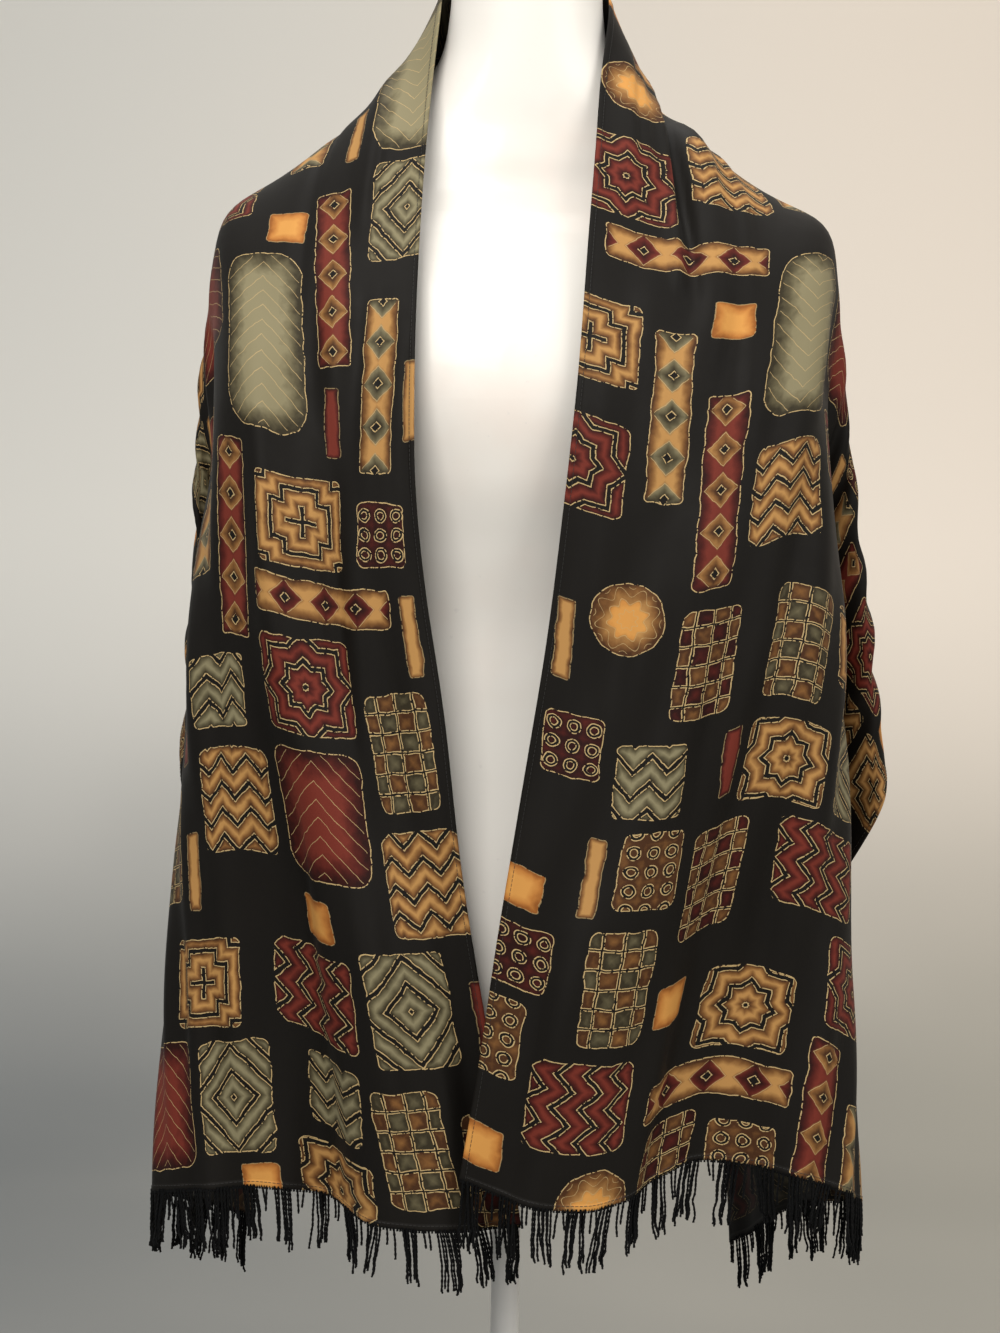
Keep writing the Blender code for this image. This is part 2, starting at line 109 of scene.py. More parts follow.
def add_node(tree, kind, settings=None, inputs=None):
    """Adds one node: its settings are set first, then each named or numbered socket is filled."""
    node = tree.nodes.new(kind)
    for name, value in (settings or {}).items():
        if name == "stops":
            ramp = node.color_ramp
            while len(ramp.elements) < len(value):
                ramp.elements.new(1.0)
            for element, (place, colour) in zip(ramp.elements, value):
                element.position = place
                element.color = (*colour, 1.0)
        else:
            setattr(node, name, value)
    for name, value in (inputs or {}).items():
        fill(tree, node.inputs[name], value)
    return node


# %% Arithmetic on sockets
SAME_WITHIN = 0.4


class Value:
    """A number that varies over a surface. Each operator on it adds the Math node that it needs."""

    def __init__(self, tree, socket):
        self.tree = tree
        self.socket = socket

    def combine(self, operation, *inputs, clamp=False):
        settings = {"operation": operation, "use_clamp": clamp}
        node = add_node(self.tree, "ShaderNodeMath", settings, dict(enumerate(inputs)))
        return Value(self.tree, node.outputs[0])

    def maths(self, operation, *others):
        return self.combine(operation, self, *others)

    def __add__(self, other):
        return self.maths("ADD", other)

    def __sub__(self, other):
        return self.maths("SUBTRACT", other)

    def __rsub__(self, other):
        return self.combine("SUBTRACT", other, self)

    def __mul__(self, other):
        return self.maths("MULTIPLY", other)

    def __truediv__(self, other):
        return self.maths("DIVIDE", other)

    def __abs__(self):
        return self.maths("ABSOLUTE")

    __radd__ = __add__
    __rmul__ = __mul__

    def least(self, other):
        return self.maths("MINIMUM", other)

    def most(self, other):
        return self.maths("MAXIMUM", other)

    def below(self, other):
        return self.maths("LESS_THAN", other)

    def equals(self, number):
        """1 where it is that whole number, and 0 elsewhere."""
        return self.maths("COMPARE", float(number), SAME_WITHIN)

    def bounce(self, size):
        """Runs up from 0 to size and down again, over and over."""
        return self.maths("PINGPONG", size)

    def length(self, other):
        return (self * self + other * other).maths("SQRT")

    def held(self):
        """Kept between 0 and 1."""
        return self.combine("ADD", self, 0.0, clamp=True)

    def rise(self, low, high):
        """A smooth step from 0 at low to 1 at high."""
        inputs = {"Value": self, "From Min": low, "From Max": high}
        node = add_node(self.tree, "ShaderNodeMapRange", {"interpolation_type": "SMOOTHSTEP"}, inputs)
        return Value(self.tree, node.outputs["Result"])


# %% A material that is built up
class Finish:
    """A material that is built up node by node."""

    def __init__(self, name):
        self.material = bpy.data.materials.new(name)
        self.material.use_nodes = True
        self.tree = self.material.node_tree
        self.shader = self.tree.nodes["Principled BSDF"]

    def add(self, kind, settings=None, inputs=None):
        return add_node(self.tree, kind, settings, inputs)

    def value(self, socket):
        return Value(self.tree, socket)

    def parts(self, vector):
        """The x, y and z of a vector socket."""
        node = self.add("ShaderNodeSeparateXYZ", inputs={"Vector": vector})
        return [self.value(node.outputs[k]) for k in range(3)]

    def object_place(self):
        """Where each point of the surface is, in metres."""
        return self.add("ShaderNodeTexCoord").outputs["Object"]

    def uv(self, name):
        return self.add("ShaderNodeUVMap", {"uv_map": name}).outputs["UV"]

    def attribute(self, name):
        return self.add("ShaderNodeAttribute", {"attribute_name": name}).outputs["Vector"]

    def noise(self, place, scale, detail=2.0):
        inputs = {"Vector": place, "Scale": scale, "Detail": detail}
        return self.value(self.add("ShaderNodeTexNoise", inputs=inputs).outputs["Fac"])

    def mix(self, share, first, second):
        """Two colours mixed, where each is a socket or a plain colour."""
        inputs = {0: share, 6: first, 7: second}
        return self.add("ShaderNodeMix", {"data_type": "RGBA"}, inputs).outputs[2]

    def bump(self, height, strength, distance):
        inputs = {"Height": height, "Strength": strength, "Distance": distance}
        return self.add("ShaderNodeBump", inputs=inputs).outputs["Normal"]

    def close(self, **sockets):
        """Fills the shader's own sockets: base_color=... for Base Color, and so on."""
        for name, value in sockets.items():
            label = name.replace("_", " ").title().replace("Ior", "IOR")
            fill(self.tree, self.shader.inputs[label], value)
        print(f"{self.material.name}: {len(self.tree.nodes)} nodes")


# %% [markdown]
# ## Floor and light
# The stand needs a floor to rest on. A photographer's floor sweeps up into the wall behind, so that
# no line runs across the picture, and this one does too: a strip of faces that follows a quarter of a
# circle. Black cloth shows its folds only by broad, dim highlights, so the lights are large and soft.

# %% Floor
FLOOR_HALF_WIDTH = 30.0
FLOOR_FRONT = -30.0
SWEEP_START = 3.2
SWEEP_RADIUS = 3.0
SWEEP_STEPS = 40
WALL_TOP = 14.0
CLOUD_SCALE = 0.6
CLOUD_STRENGTH = 0.3
PAINTED_LIGHT_AT_HEIGHT = 1.7
PAINTED_LIGHT_SIDE_SPAN = 2.0
SHADED_LEFT_TO_LIT_RIGHT = (-0.6, 0.9)
# The floor's tones hold painted light and shade: the low tones are painted shade, darker and cooler, and the
# high tones are painted light, paler and warmer.
PAINTED_SHADE_LOW_TONES = ((0.15, 0.165, 0.175), (0.32, 0.31, 0.27))
PAINTED_LIGHT_HIGH_TONES = ((0.76, 0.75, 0.71), (0.86, 0.78, 0.69))

floor_finish = Finish("floor_painted_light")
floor_place = floor_finish.object_place()
floor_x, _, floor_z = floor_finish.parts(floor_place)
cloud = floor_finish.noise(floor_place, CLOUD_SCALE) * CLOUD_STRENGTH
# Painted light and shade: the floor's colour is darker towards the bottom and the left and paler and warmer
# towards the top and the right, as light falls on it. The cloud noise is a random tone.
painted_light_upwards = (cloud + floor_z / PAINTED_LIGHT_AT_HEIGHT).rise(0.0, 1.0)
painted_light_sideways = (cloud + floor_x / PAINTED_LIGHT_SIDE_SPAN).rise(*SHADED_LEFT_TO_LIT_RIGHT)
painted_shade_low = floor_finish.mix(painted_light_sideways, *PAINTED_SHADE_LOW_TONES)
painted_light_high = floor_finish.mix(painted_light_sideways, *PAINTED_LIGHT_HIGH_TONES)
floor_finish.close(base_color=floor_finish.mix(painted_light_upwards, painted_shade_low, painted_light_high), roughness=0.9)

sweep = [(FLOOR_FRONT, 0.0)]
for angle in np.linspace(0, math.pi / 2, SWEEP_STEPS):
    sweep.append((SWEEP_START + SWEEP_RADIUS * math.sin(angle), SWEEP_RADIUS * (1 - math.cos(angle))))
sweep.append((SWEEP_START + SWEEP_RADIUS, WALL_TOP))
corners = [(side * FLOOR_HALF_WIDTH, y, z) for y, z in sweep for side in (-1, 1)]
strips = [(2 * k, 2 * k + 1, 2 * k + 3, 2 * k + 2) for k in range(len(sweep) - 1)]
floor_mesh = bpy.data.meshes.new("floor")
floor_mesh.from_pydata(corners, [], strips)
floor_mesh.shade_smooth()
floor_mesh.materials.append(floor_finish.material)
floor = put("floor", floor_mesh)

# %% World and lights
WORLD_COLOUR = (0.69, 0.68, 0.66)
WORLD_STRENGTH = 0.85
LIGHTS = (
    # name, place, aimed at, width, power, colour
    ("key", (-0.9, -2.3, 3.1), (0, 0, 1.25), 1.6, 66.0, (1.0, 0.965, 0.91)),
    ("fill", (2.2, -2.0, 2.4), (0, 0, 1.1), 1.8, 32.0, (1.0, 0.97, 0.93)),
    ("top", (0.0, 0.5, 3.2), (0, 0, 1.2), 1.6, 22.0, (1.0, 0.98, 0.95)),
    ("wall", (0.9, 1.6, 3.7), (0.2, 6.2, 2.7), 1.6, 78.0, (1.0, 0.96, 0.91)),
)

world = bpy.data.worlds.new("pale_room")
world.use_nodes = True
background = world.node_tree.nodes["Background"].inputs
background["Color"].default_value = (*WORLD_COLOUR, 1.0)
background["Strength"].default_value = WORLD_STRENGTH
bpy.context.scene.world = world
bpy.context.scene.view_settings.view_transform = "Standard"

for name, place, target, width, power, colour in LIGHTS:
    lamp = bpy.data.lights.new(name, "AREA")
    lamp.size = width
    lamp.energy = power
    lamp.color = colour
    light = put(name, lamp)
    aim = np.array(target) - place
    bearing = math.atan2(aim[0], -aim[1])
    tilt = math.atan2(math.hypot(aim[0], aim[1]), -aim[2])
    light.location = place
    light.rotation_euler = (tilt, 0.0, bearing + math.pi)
print(f"{len(LIGHTS)} lights")

# %% [markdown]
# ## The drape
# The shawl is one oblong of cloth, 1.92 by 0.48 m. A point of it is named by two distances on the
# flat cloth: `along`, from the middle of the nape towards a fringed end, and `across`, from the neck
# edge outwards. Cloth keeps its lengths, so its shape can be worked out from a few lines that hang
# where they do on the real one: the neck edge, a middle line and the fall line over the shoulder
# tip. Below the tip the cloth hangs in pleats that open downwards like a cone's folds.

# %% Sizes of the cloth
CLOTH_LENGTH = 1.92
CLOTH_WIDTH = 0.48
HALF_LENGTH = CLOTH_LENGTH / 2
ALONG_SHOULDER = 0.28
ACROSS_SHOULDER = 0.16
FINE_STEP = 0.005
LINE_POINTS = 1200

# %% Lines of the cloth, from the middle of the back to the hem: x outwards, y, z
NECK_EDGE = {
    "right": (
        (0.0000, 0.084, 1.500),
        (0.0360, 0.070, 1.501),
        (0.0570, 0.032, 1.502),
        (0.0590, -0.006, 1.484),
        (0.0520, -0.042, 1.421),
        (0.0490, -0.068, 1.374),
        (0.0441, -0.097, 1.307),
        (0.0371, -0.126, 1.200),
        (0.0300, -0.133, 1.122),
        (0.0187, -0.137, 1.020),
        (0.0043, -0.139, 0.926),
        (-0.0106, -0.140, 0.824),
        (-0.0217, -0.140, 0.736),
        (-0.0312, -0.139, 0.670),
    ),
    "left": (
        (0.0000, 0.084, 1.500),
        (0.0360, 0.070, 1.505),
        (0.0595, 0.032, 1.506),
        (0.0605, -0.006, 1.486),
        (0.0665, -0.050, 1.402),
        (0.0685, -0.072, 1.364),
        (0.0710, -0.101, 1.289),
        (0.0718, -0.125, 1.200),
        (0.0700, -0.131, 1.130),
        (0.0643, -0.131, 1.078),
        (0.0480, -0.128, 0.978),
        (0.0366, -0.125, 0.890),
        (0.0194, -0.120, 0.784),
        (-0.0094, -0.113, 0.634),
    ),
}
MIDDLE_LINE = {
    "right": (
        (0.000, 0.108, 1.416),
        (0.057, 0.104, 1.416),
        (0.097, 0.078, 1.406),
        (0.116, 0.036, 1.394),
        (0.126, -0.002, 1.387),
        (0.132, -0.040, 1.352),
        (0.131, -0.078, 1.300),
        (0.124, -0.120, 1.210),
        (0.112, -0.136, 1.100),
        (0.098, -0.141, 0.980),
        (0.081, -0.144, 0.850),
        (0.065, -0.146, 0.740),
        (0.052, -0.147, 0.652),
    ),
    "left": (
        (0.000, 0.108, 1.416),
        (0.057, 0.104, 1.416),
        (0.099, 0.078, 1.410),
        (0.120, 0.036, 1.402),
        (0.130, -0.002, 1.394),
        (0.136, -0.040, 1.364),
        (0.139, -0.078, 1.306),
        (0.138, -0.118, 1.210),
        (0.134, -0.132, 1.100),
        (0.122, -0.134, 0.980),
        (0.106, -0.133, 0.850),
        (0.090, -0.131, 0.740),
        (0.072, -0.129, 0.637),
    ),
}
FALL_LINE = {
    "right": (
        (0.000, 0.114, 1.340),
        (0.080, 0.110, 1.342),
        (0.150, 0.088, 1.346),
        (0.200, 0.048, 1.347),
        (0.222, 0.002, 1.337),
        (0.221, -0.034, 1.311),
        (0.213, -0.070, 1.254),
        (0.196, -0.102, 1.170),
        (0.180, -0.116, 1.060),
        (0.164, -0.122, 0.940),
        (0.147, -0.124, 0.810),
        (0.130, -0.122, 0.679),
    ),
    "left": (
        (0.000, 0.114, 1.340),
        (0.080, 0.110, 1.342),
        (0.150, 0.088, 1.346),
        (0.198, 0.048, 1.347),
        (0.217, 0.002, 1.338),
        (0.217, -0.034, 1.312),
        (0.211, -0.070, 1.258),
        (0.201, -0.101, 1.170),
        (0.191, -0.114, 1.060),
        (0.181, -0.117, 0.940),
        (0.169, -0.114, 0.810),
        (0.157, -0.108, 0.657),
    ),
}
print(f"{len(NECK_EDGE['right'])} points set the neck edge on the right")

# %% [markdown]
# Three more tables say how the cloth folds. A pleat is a direction on the cloth from the shoulder tip,
# in degrees from the fall line round to the back, with how far the cloth there leans out and back
# for each metre that it hangs, and the share of its length that small creases take up. A soft fold
# is a ridge or a trough along a line of the cloth.

# %% Pleats: direction, lean outwards, lean back, share taken up
PLEATS = {
    "right": (
        (0.0, -0.135, -0.180, 0.000),
        (7.0, -0.010, -0.150, 0.004),
        (11.0, 0.034, -0.090, -0.002),
        (18.0, -0.015, 0.025, 0.018),
        (25.2, -0.070, 0.135, -0.008),
        (30.0, -0.085, 0.195, 0.004),
        (35.0, -0.040, 0.175, 0.012),
        (44.0, 0.060, 0.060, 0.018),
        (49.0, 0.105, 0.035, 0.018),
        (54.0, 0.118, 0.085, 0.018),
        (61.0, 0.060, 0.190, 0.018),
        (66.0, 0.050, 0.245, 0.018),
        (74.0, 0.110, 0.255, 0.018),
        (82.0, 0.080, 0.310, 0.018),
        (90.0, 0.000, 0.340, 0.018),
    ),
    "left": (
        (0.0, -0.100, -0.170, 0.000),
        (7.0, 0.000, -0.140, 0.005),
        (11.0, 0.038, -0.085, 0.010),
        (18.0, 0.005, 0.025, 0.017),
        (25.2, -0.035, 0.135, 0.018),
        (29.5, -0.046, 0.190, 0.018),
        (34.0, -0.012, 0.200, 0.018),
        (40.0, 0.018, 0.125, 0.018),
        (46.0, 0.036, 0.070, 0.018),
        (50.0, 0.055, 0.080, 0.018),
        (55.0, 0.060, 0.130, 0.018),
        (61.0, 0.034, 0.205, 0.018),
        (66.0, 0.034, 0.255, 0.018),
        (74.0, 0.080, 0.265, 0.018),
        (82.0, 0.062, 0.315, 0.018),
        (90.0, 0.000, 0.340, 0.018),
    ),
}
PLEATS_OPEN_FROM = 0.04
PLEATS_OPEN_BY = 0.30
PLAIN_BULGE = 0.16
FALL_FADES_BY = 20.0
EVENING = 0.35
EVENING_PASSES = 24

# %% Soft folds: start, end, across from, across to, height, half width, growing length
FRONT_FOLDS = {
    "right": (
        (0.115, 0.300, 0.018, 0.030, 0.006, 0.012, 0.06),
        (0.115, 0.320, 0.045, 0.062, -0.006, 0.012, 0.06),
        (0.130, 0.420, 0.062, 0.090, 0.007, 0.014, 0.08),
        (0.420, 0.900, 0.110, 0.060, 0.008, 0.030, 0.15),
        (0.600, 1.300, 0.165, 0.165, -0.026, 0.050, 0.28),
        (0.650, 1.300, 0.060, 0.050, 0.010, 0.040, 0.25),
    ),
    "left": (
        (0.120, 0.330, 0.035, 0.045, 0.005, 0.014, 0.06),
        (0.330, 0.760, 0.135, 0.100, 0.013, 0.026, 0.12),
        (0.340, 0.800, 0.090, 0.060, -0.008, 0.028, 0.12),
        (0.560, 1.300, 0.082, 0.075, 0.020, 0.030, 0.25),
        (0.560, 1.300, 0.135, 0.125, -0.018, 0.030, 0.25),
    ),
}
BACK_FOLDS = (
    # across from, full depth at, along, depth, half width
    (0.150, 0.480, 0.000, -0.010, 0.034),
    (0.170, 0.480, 0.066, 0.014, 0.032),
    (0.170, 0.480, 0.124, -0.012, 0.030),
    (0.180, 0.480, 0.184, 0.016, 0.032),
    (0.190, 0.480, 0.238, -0.010, 0.026),
)
BACK_FOLD_POWER = 1.3
BACK_LEAN_FROM = 0.08
BACK_FOLDS_FADE = (0.30, 0.22)
print(f"{len(PLEATS['right'])} pleat directions and {len(FRONT_FOLDS['right'])} folds on the right")


# %% Helpers for curves and grids
def smoothstep(low, high, value):
    share = np.clip((value - low) / (high - low), 0.0, 1.0)
    return share * share * (3.0 - 2.0 * share)


def spline(place, values, at):
    """A smooth curve through values, which stand at the given places along it."""
    step = np.diff(place)
    slope = np.diff(values, axis=0) / step[:, None]
    tangent = np.vstack([slope[:1], slope[:-1], slope[-1:]])[: len(values)]
    before, after = step[:-1, None], step[1:, None]
    tangent[1:-1] = (slope[:-1] * after + slope[1:] * before) / (before + after)
    tangent[-1] = slope[-1]
    i = np.clip(np.searchsorted(place, at) - 1, 0, len(step) - 1)
    h = step[i][..., None]
    u = (at - place[i])[..., None] / h
    near = (1 + 2 * u) * (1 - u) ** 2 * values[i] + u * (1 - u) ** 2 * h * tangent[i]
    far = u * u * (3 - 2 * u) * values[i + 1] - u * u * (1 - u) * h * tangent[i + 1]
    return near + far


def run_along(points):
    """The distance from the first point to each point, along the line through them."""
    return np.concatenate([[0], np.cumsum(np.linalg.norm(np.diff(points, axis=0), axis=1))])


def sample(places, values, at):
    """Rows of a grid at given places, between its own rows."""
    i = np.clip(np.searchsorted(places, at) - 1, 0, len(places) - 2)
    share = (at - places[i]) / (places[i + 1] - places[i])
    share = share.reshape(-1, *([1] * (values.ndim - 1)))
    return values[i] * (1 - share) + values[i + 1] * share


def face_directions(points):
    """Unit vectors that point out of the cloth's outer face at each point of a grid."""
    normal = np.cross(np.gradient(points, axis=0), np.gradient(points, axis=1))
    return normal / np.linalg.norm(normal, axis=-1, keepdims=True)


def raised(points, height):
    """The points of a grid, each moved out of the cloth's face by its own height."""
    return points + height[..., None] * face_directions(points)


# %% Where each line of the cloth runs
def run_of_line(line, along):
    """Points of one line of the cloth, from the left hem, round the back, to the right hem."""
    left = np.array(line["left"]) * (-1, 1, 1)
    points = np.vstack([left[:0:-1], line["right"]])
    place = run_along(points)
    dense_place = np.linspace(0, place[-1], LINE_POINTS)
    dense = spline(place, points, dense_place)
    run = run_along(dense)
    nape = np.interp(place[len(left) - 1], dense_place, run)
    left_share = (run - nape) / nape
    right_share = (run - nape) / (run[-1] - nape)
    share = np.where(run < nape, left_share, right_share)
    return np.column_stack([np.interp(along / HALF_LENGTH, share, dense[:, k]) for k in range(3)])


def below_shoulder(side, tip, fall, ahead, outward):
    """Points of the cloth that hangs from the shoulder tip, in front of it and outside it.

    ahead and outward are the distances on the cloth from the tip, along and across."""
    reach = np.hypot(ahead, outward)
    angle = np.degrees(np.arctan2(outward, np.maximum(ahead, 1e-9)))
    rows = np.array(PLEATS[side])
    from_rows = spline(rows[:, 0], rows[:, 1:], angle)
    pleated, taken_up = from_rows[..., :2], from_rows[..., 2:]
    first, last = rows[0, 1:3], rows[-1, 1:3]
    turn = smoothstep(0.0, 90.0, angle)[..., None]
    bulge = np.array([PLAIN_BULGE, 0.0]) * np.sin(np.pi * turn)
    plain = first + (last - first) * turn + bulge
    opened = smoothstep(PLEATS_OPEN_FROM, PLEATS_OPEN_BY, reach)[..., None]
    lean = plain + (pleated - plain) * opened
    drop = 1.0 / np.sqrt(1.0 + (lean**2).sum(-1, keepdims=True))
    ray = np.concatenate([lean, -np.ones_like(drop)], -1) * drop
    straight = np.append(first, -1.0) / math.sqrt(1.0 + (first**2).sum())
    run = np.arange(len(fall)) * FINE_STEP
    bend = fall - tip - run[:, None] * straight
    at_reach = np.stack([np.interp(reach, run, bend[:, k]) for k in range(3)], -1)
    fades = 1.0 - smoothstep(0.0, FALL_FADES_BY, angle)[..., None]
    hang = reach[..., None] * (1.0 - taken_up)
    return tip + hang * ray + at_reach * fades


# %% How high the folds stand
def fold_height(along, across, folds):
    """Height of ridges and troughs, each along its own line of the cloth."""
    total = np.zeros(np.broadcast(along, across).shape)
    for start, end, from_across, to_across, depth, half_width, fade in folds:
        share = np.clip((along - start) / (end - start), 0.0, 1.0)
        middle = from_across + (to_across - from_across) * share
        width = np.exp(-(((across - middle) / half_width) ** 2))
        length = smoothstep(start, start + fade, along) * (1 - smoothstep(end - fade, end, along))
        total += depth * width * length
    return total


def back_fold_height(along, across):
    """Height of the folds behind, which grow towards the lower edge and match left and right."""
    total = np.zeros(np.broadcast(along, across).shape)
    for start, full, middle, depth, half_width in BACK_FOLDS:
        grown = np.clip((across - start) / (full - start), 0.0, 1.0) ** BACK_FOLD_POWER
        for side in (-1, 1) if middle else (1,):
            total += depth * grown * np.exp(-(((along - side * middle) / half_width) ** 2))
    return total


def soften(points):
    """Evens the cloth out, its edges apart."""
    for _ in range(EVENING_PASSES):
        even = points.copy()
        even[1:-1] = (points[:-2] + points[2:]) / 2
        points = points + (even - points) * EVENING
        even = points.copy()
        even[:, 1:-1] = (points[:, :-2] + points[:, 2:]) / 2
        points = points + (even - points) * EVENING
    return points


# %% The cloth outside the shoulder tips
SIDES = (("left", -1), ("right", 1))


def hang_fronts(points, along, outer, outward, fall):
    """Hangs the pleated cloth of both fronts from the shoulder tips."""
    for side, sign in SIDES:
        order = np.flatnonzero(sign * along >= ALONG_SHOULDER - FINE_STEP / 2)[::sign]
        hang = fall[order] * (sign, 1, 1)
        ahead = np.abs(along[order]) - ALONG_SHOULDER
        hung = below_shoulder(side, hang[0], hang, ahead[:, None], outward[None, :])
        points[np.ix_(order, outer)] = hung * (sign, 1, 1)


def hang_back(points, along, outer, outward, fall):
    """Hangs the cloth behind: plumb in the middle, and as the last pleat leans at the tips."""
    lean_out, lean_back = PLEATS["right"][-1][1:3]
    back = np.flatnonzero(np.abs(along) < ALONG_SHOULDER - FINE_STEP / 2)
    share = smoothstep(BACK_LEAN_FROM, ALONG_SHOULDER, np.abs(along[back]))
    lean = np.column_stack([lean_out * share * np.sign(along[back]), lean_back * share])
    down = np.column_stack([lean, -np.ones(len(lean))])
    down /= np.linalg.norm(down, axis=1)[:, None]
    points[np.ix_(back, outer)] = fall[back][:, None] + outward[None, :, None] * down[:, None]


# %% The draped cloth as a grid of points
def draped_cloth():
    """The middle of the cloth as a fine grid of points, with the places of its rows and columns."""
    along = np.arange(-round(HALF_LENGTH / FINE_STEP), round(HALF_LENGTH / FINE_STEP) + 1) * FINE_STEP
    across = np.arange(round(CLOTH_WIDTH / FINE_STEP) + 1) * FINE_STEP
    neck, middle, fall = (run_of_line(line, along) for line in (NECK_EDGE, MIDDLE_LINE, FALL_LINE))
    share = (across / ACROSS_SHOULDER)[None, :, None]
    neck_part = (1 - share) * (1 - 2 * share) * neck[:, None]
    middle_part = 4 * share * (1 - share) * middle[:, None]
    fall_part = share * (2 * share - 1) * fall[:, None]
    points = neck_part + middle_part + fall_part

    outer = np.flatnonzero(across > ACROSS_SHOULDER)
    outward = across[outer] - ACROSS_SHOULDER
    hang_fronts(points, along, outer, outward, fall)
    hang_back(points, along, outer, outward, fall)
    points = soften(points)

    grid_along, grid_across = along[:, None], across[None, :]
    back_part = smoothstep(*BACK_FOLDS_FADE, np.abs(grid_along))
    height = back_fold_height(grid_along, grid_across) * back_part
    for side, sign in SIDES:
        height = height + fold_height(sign * grid_along, grid_across, FRONT_FOLDS[side])
    return along, across, raised(points, height)


along, across, cloth_points = draped_cloth()
print(f"cloth grid {len(along)} by {len(across)} points")

# %% [markdown]
# The solids keep only the large folds. Thin crepe also has small ripples, a few millimetres high and
# some centimetres apart, that run down the cloth where it hangs free and vanish where it lies on the
# shoulders. A seeded sum of waves makes them: it is smooth, cheap, and the same at every run.

# %% Small ripples
RIPPLE_SEED = 11
RIPPLE_WAVES = 22
RIPPLE_HEIGHT = 0.0013
RIPPLE_ACROSS = (0.030, 0.085)
RIPPLE_ALONG = (0.15, 0.60)
HEM_RIPPLE_HEIGHT = 0.0022
HEM_RIPPLE_LENGTH = 0.058
HEM_RIPPLE_REACH = 0.10
HEM_RIPPLE_SLANT = 3.0
RESTS_WITHIN = (0.30, 0.40)
RIPPLES_GROW_OVER = 0.10


def ripples(along, across):
    """Height of the small ripples over the grid."""
    rng = np.random.default_rng(RIPPLE_SEED)
    total = np.zeros((len(along), len(across)))
    for _ in range(RIPPLE_WAVES):
        wave_across = 2 * math.pi / rng.uniform(*RIPPLE_ACROSS)
        wave_along = 2 * math.pi / rng.uniform(*RIPPLE_ALONG)
        phase, slant = rng.uniform(0, 2 * math.pi), rng.choice((-1, 1))
        total += np.sin(wave_across * across[None] + slant * wave_along * along[:, None] + phase)
    total *= RIPPLE_HEIGHT / math.sqrt(RIPPLE_WAVES / 2)
    from_hem = HALF_LENGTH - np.abs(along)[:, None]
    hem_wave = np.sin(2 * math.pi * across[None] / HEM_RIPPLE_LENGTH + HEM_RIPPLE_SLANT * along[:, None])
    total += HEM_RIPPLE_HEIGHT * hem_wave * np.exp(-from_hem / HEM_RIPPLE_REACH)
    free = smoothstep(*RESTS_WITHIN, np.abs(along))[:, None]
    low = smoothstep(ACROSS_SHOULDER, ACROSS_SHOULDER + RIPPLES_GROW_OVER, across)[None]
    return total * np.maximum(free, low)


ripple = ripples(along, across)
cloth_points = raised(cloth_points, ripple)
print(f"ripples up to {np.abs(ripple).max() * 1000:.1f} mm high")

# %% [markdown]
# ## The cloth as a thin shell
# A single sheet of faces would show no edge and no hem. The cloth gets two walls instead, a third of
# a millimetre from its middle, joined round the edges. Towards each edge the walls stand wider apart,
# as they do where the real cloth is rolled under and sewn down. Every corner keeps its flat place as
# a UV in metres, so the print and the weave keep their true scale however the cloth folds. Beside
# the neck, where the cloth is gathered, the columns stand closer, so that narrow creases stay round.

# %% Places of the shell's rows and columns
CLOTH_HALF_WALL = 0.00035
HEM_HALF_WALL = 0.00075
HEM_EDGE_HALF_WALL = 0.00040
HEM_TURN = 0.0010
HEM_WIDTH = 0.0042
HEM_STOPS = (HEM_TURN, HEM_WIDTH - HEM_TURN / 2, HEM_WIDTH)
GATHERED = (0.020, 0.112)
GATHERED_STEP = 0.0025
PLACE_DIGITS = 6


def hemmed_places(places):
    """Places of a grid, with more of them over the hems at both ends."""
    hem = np.array(HEM_STOPS)
    return np.unique(np.concatenate([places, places[0] + hem, places[-1] - hem]))


def half_wall(along, across):
    """Half the thickness of the cloth, which is more over the hems."""
    from_end = HALF_LENGTH - np.abs(along)[:, None]
    from_side = np.minimum(across, CLOTH_WIDTH - across)[None, :]
    half_walls = (HEM_EDGE_HALF_WALL, HEM_HALF_WALL, HEM_HALF_WALL, CLOTH_HALF_WALL)
    return np.interp(np.minimum(from_end, from_side), (0.0, *HEM_STOPS), half_walls)


def sample_grid(values, at_along, at_across):
    """The cloth grid's values at other rows and columns."""
    rows = sample(along, values, at_along)
    return sample(across, rows.swapaxes(0, 1), at_across).swapaxes(0, 1)


shell_along = hemmed_places(along)
gathered_places = np.arange(*GATHERED, GATHERED_STEP).round(PLACE_DIGITS)
shell_across = np.union1d(hemmed_places(across).round(PLACE_DIGITS), gathered_places)
shell_points = sample_grid(cloth_points, shell_along, shell_across)
shell_half_wall = half_wall(shell_along, shell_across)[..., None]
print(f"shell {len(shell_along)} by {len(shell_across)} points")

# %% [markdown]
# Narrow creases are given one by one. The deepest run down beside the neck, where the cloth is gathered
# into a pleat; others lead from the shoulder tips to the fronts, and from the nape down the back.

# %% Creases: start, end, across from, across to, height, half width, growing length
CREASES = {
    "right": (
        (0.155, 0.380, 0.049, 0.071, -0.0056, 0.0042, 0.09),
        (0.115, 0.370, 0.036, 0.061, 0.0052, 0.0048, 0.045),
        (0.125, 0.300, 0.021, 0.033, -0.0028, 0.0042, 0.05),
        (0.145, 0.440, 0.090, 0.110, 0.0026, 0.0060, 0.07),
        (0.300, 0.620, 0.205, 0.150, -0.0026, 0.0110, 0.10),
        (0.400, 0.900, 0.098, 0.070, 0.0024, 0.0100, 0.14),
        (0.520, 0.960, 0.235, 0.215, -0.0028, 0.0120, 0.14),
    ),
    "left": (
        (0.130, 0.320, 0.028, 0.042, -0.0030, 0.0045, 0.05),
        (0.150, 0.430, 0.082, 0.102, -0.0024, 0.0060, 0.07),
        (0.290, 0.640, 0.215, 0.185, -0.0028, 0.0110, 0.10),
        (0.420, 0.930, 0.060, 0.050, 0.0024, 0.0110, 0.14),
        (0.500, 0.960, 0.245, 0.230, -0.0028, 0.0130, 0.14),
    ),
}
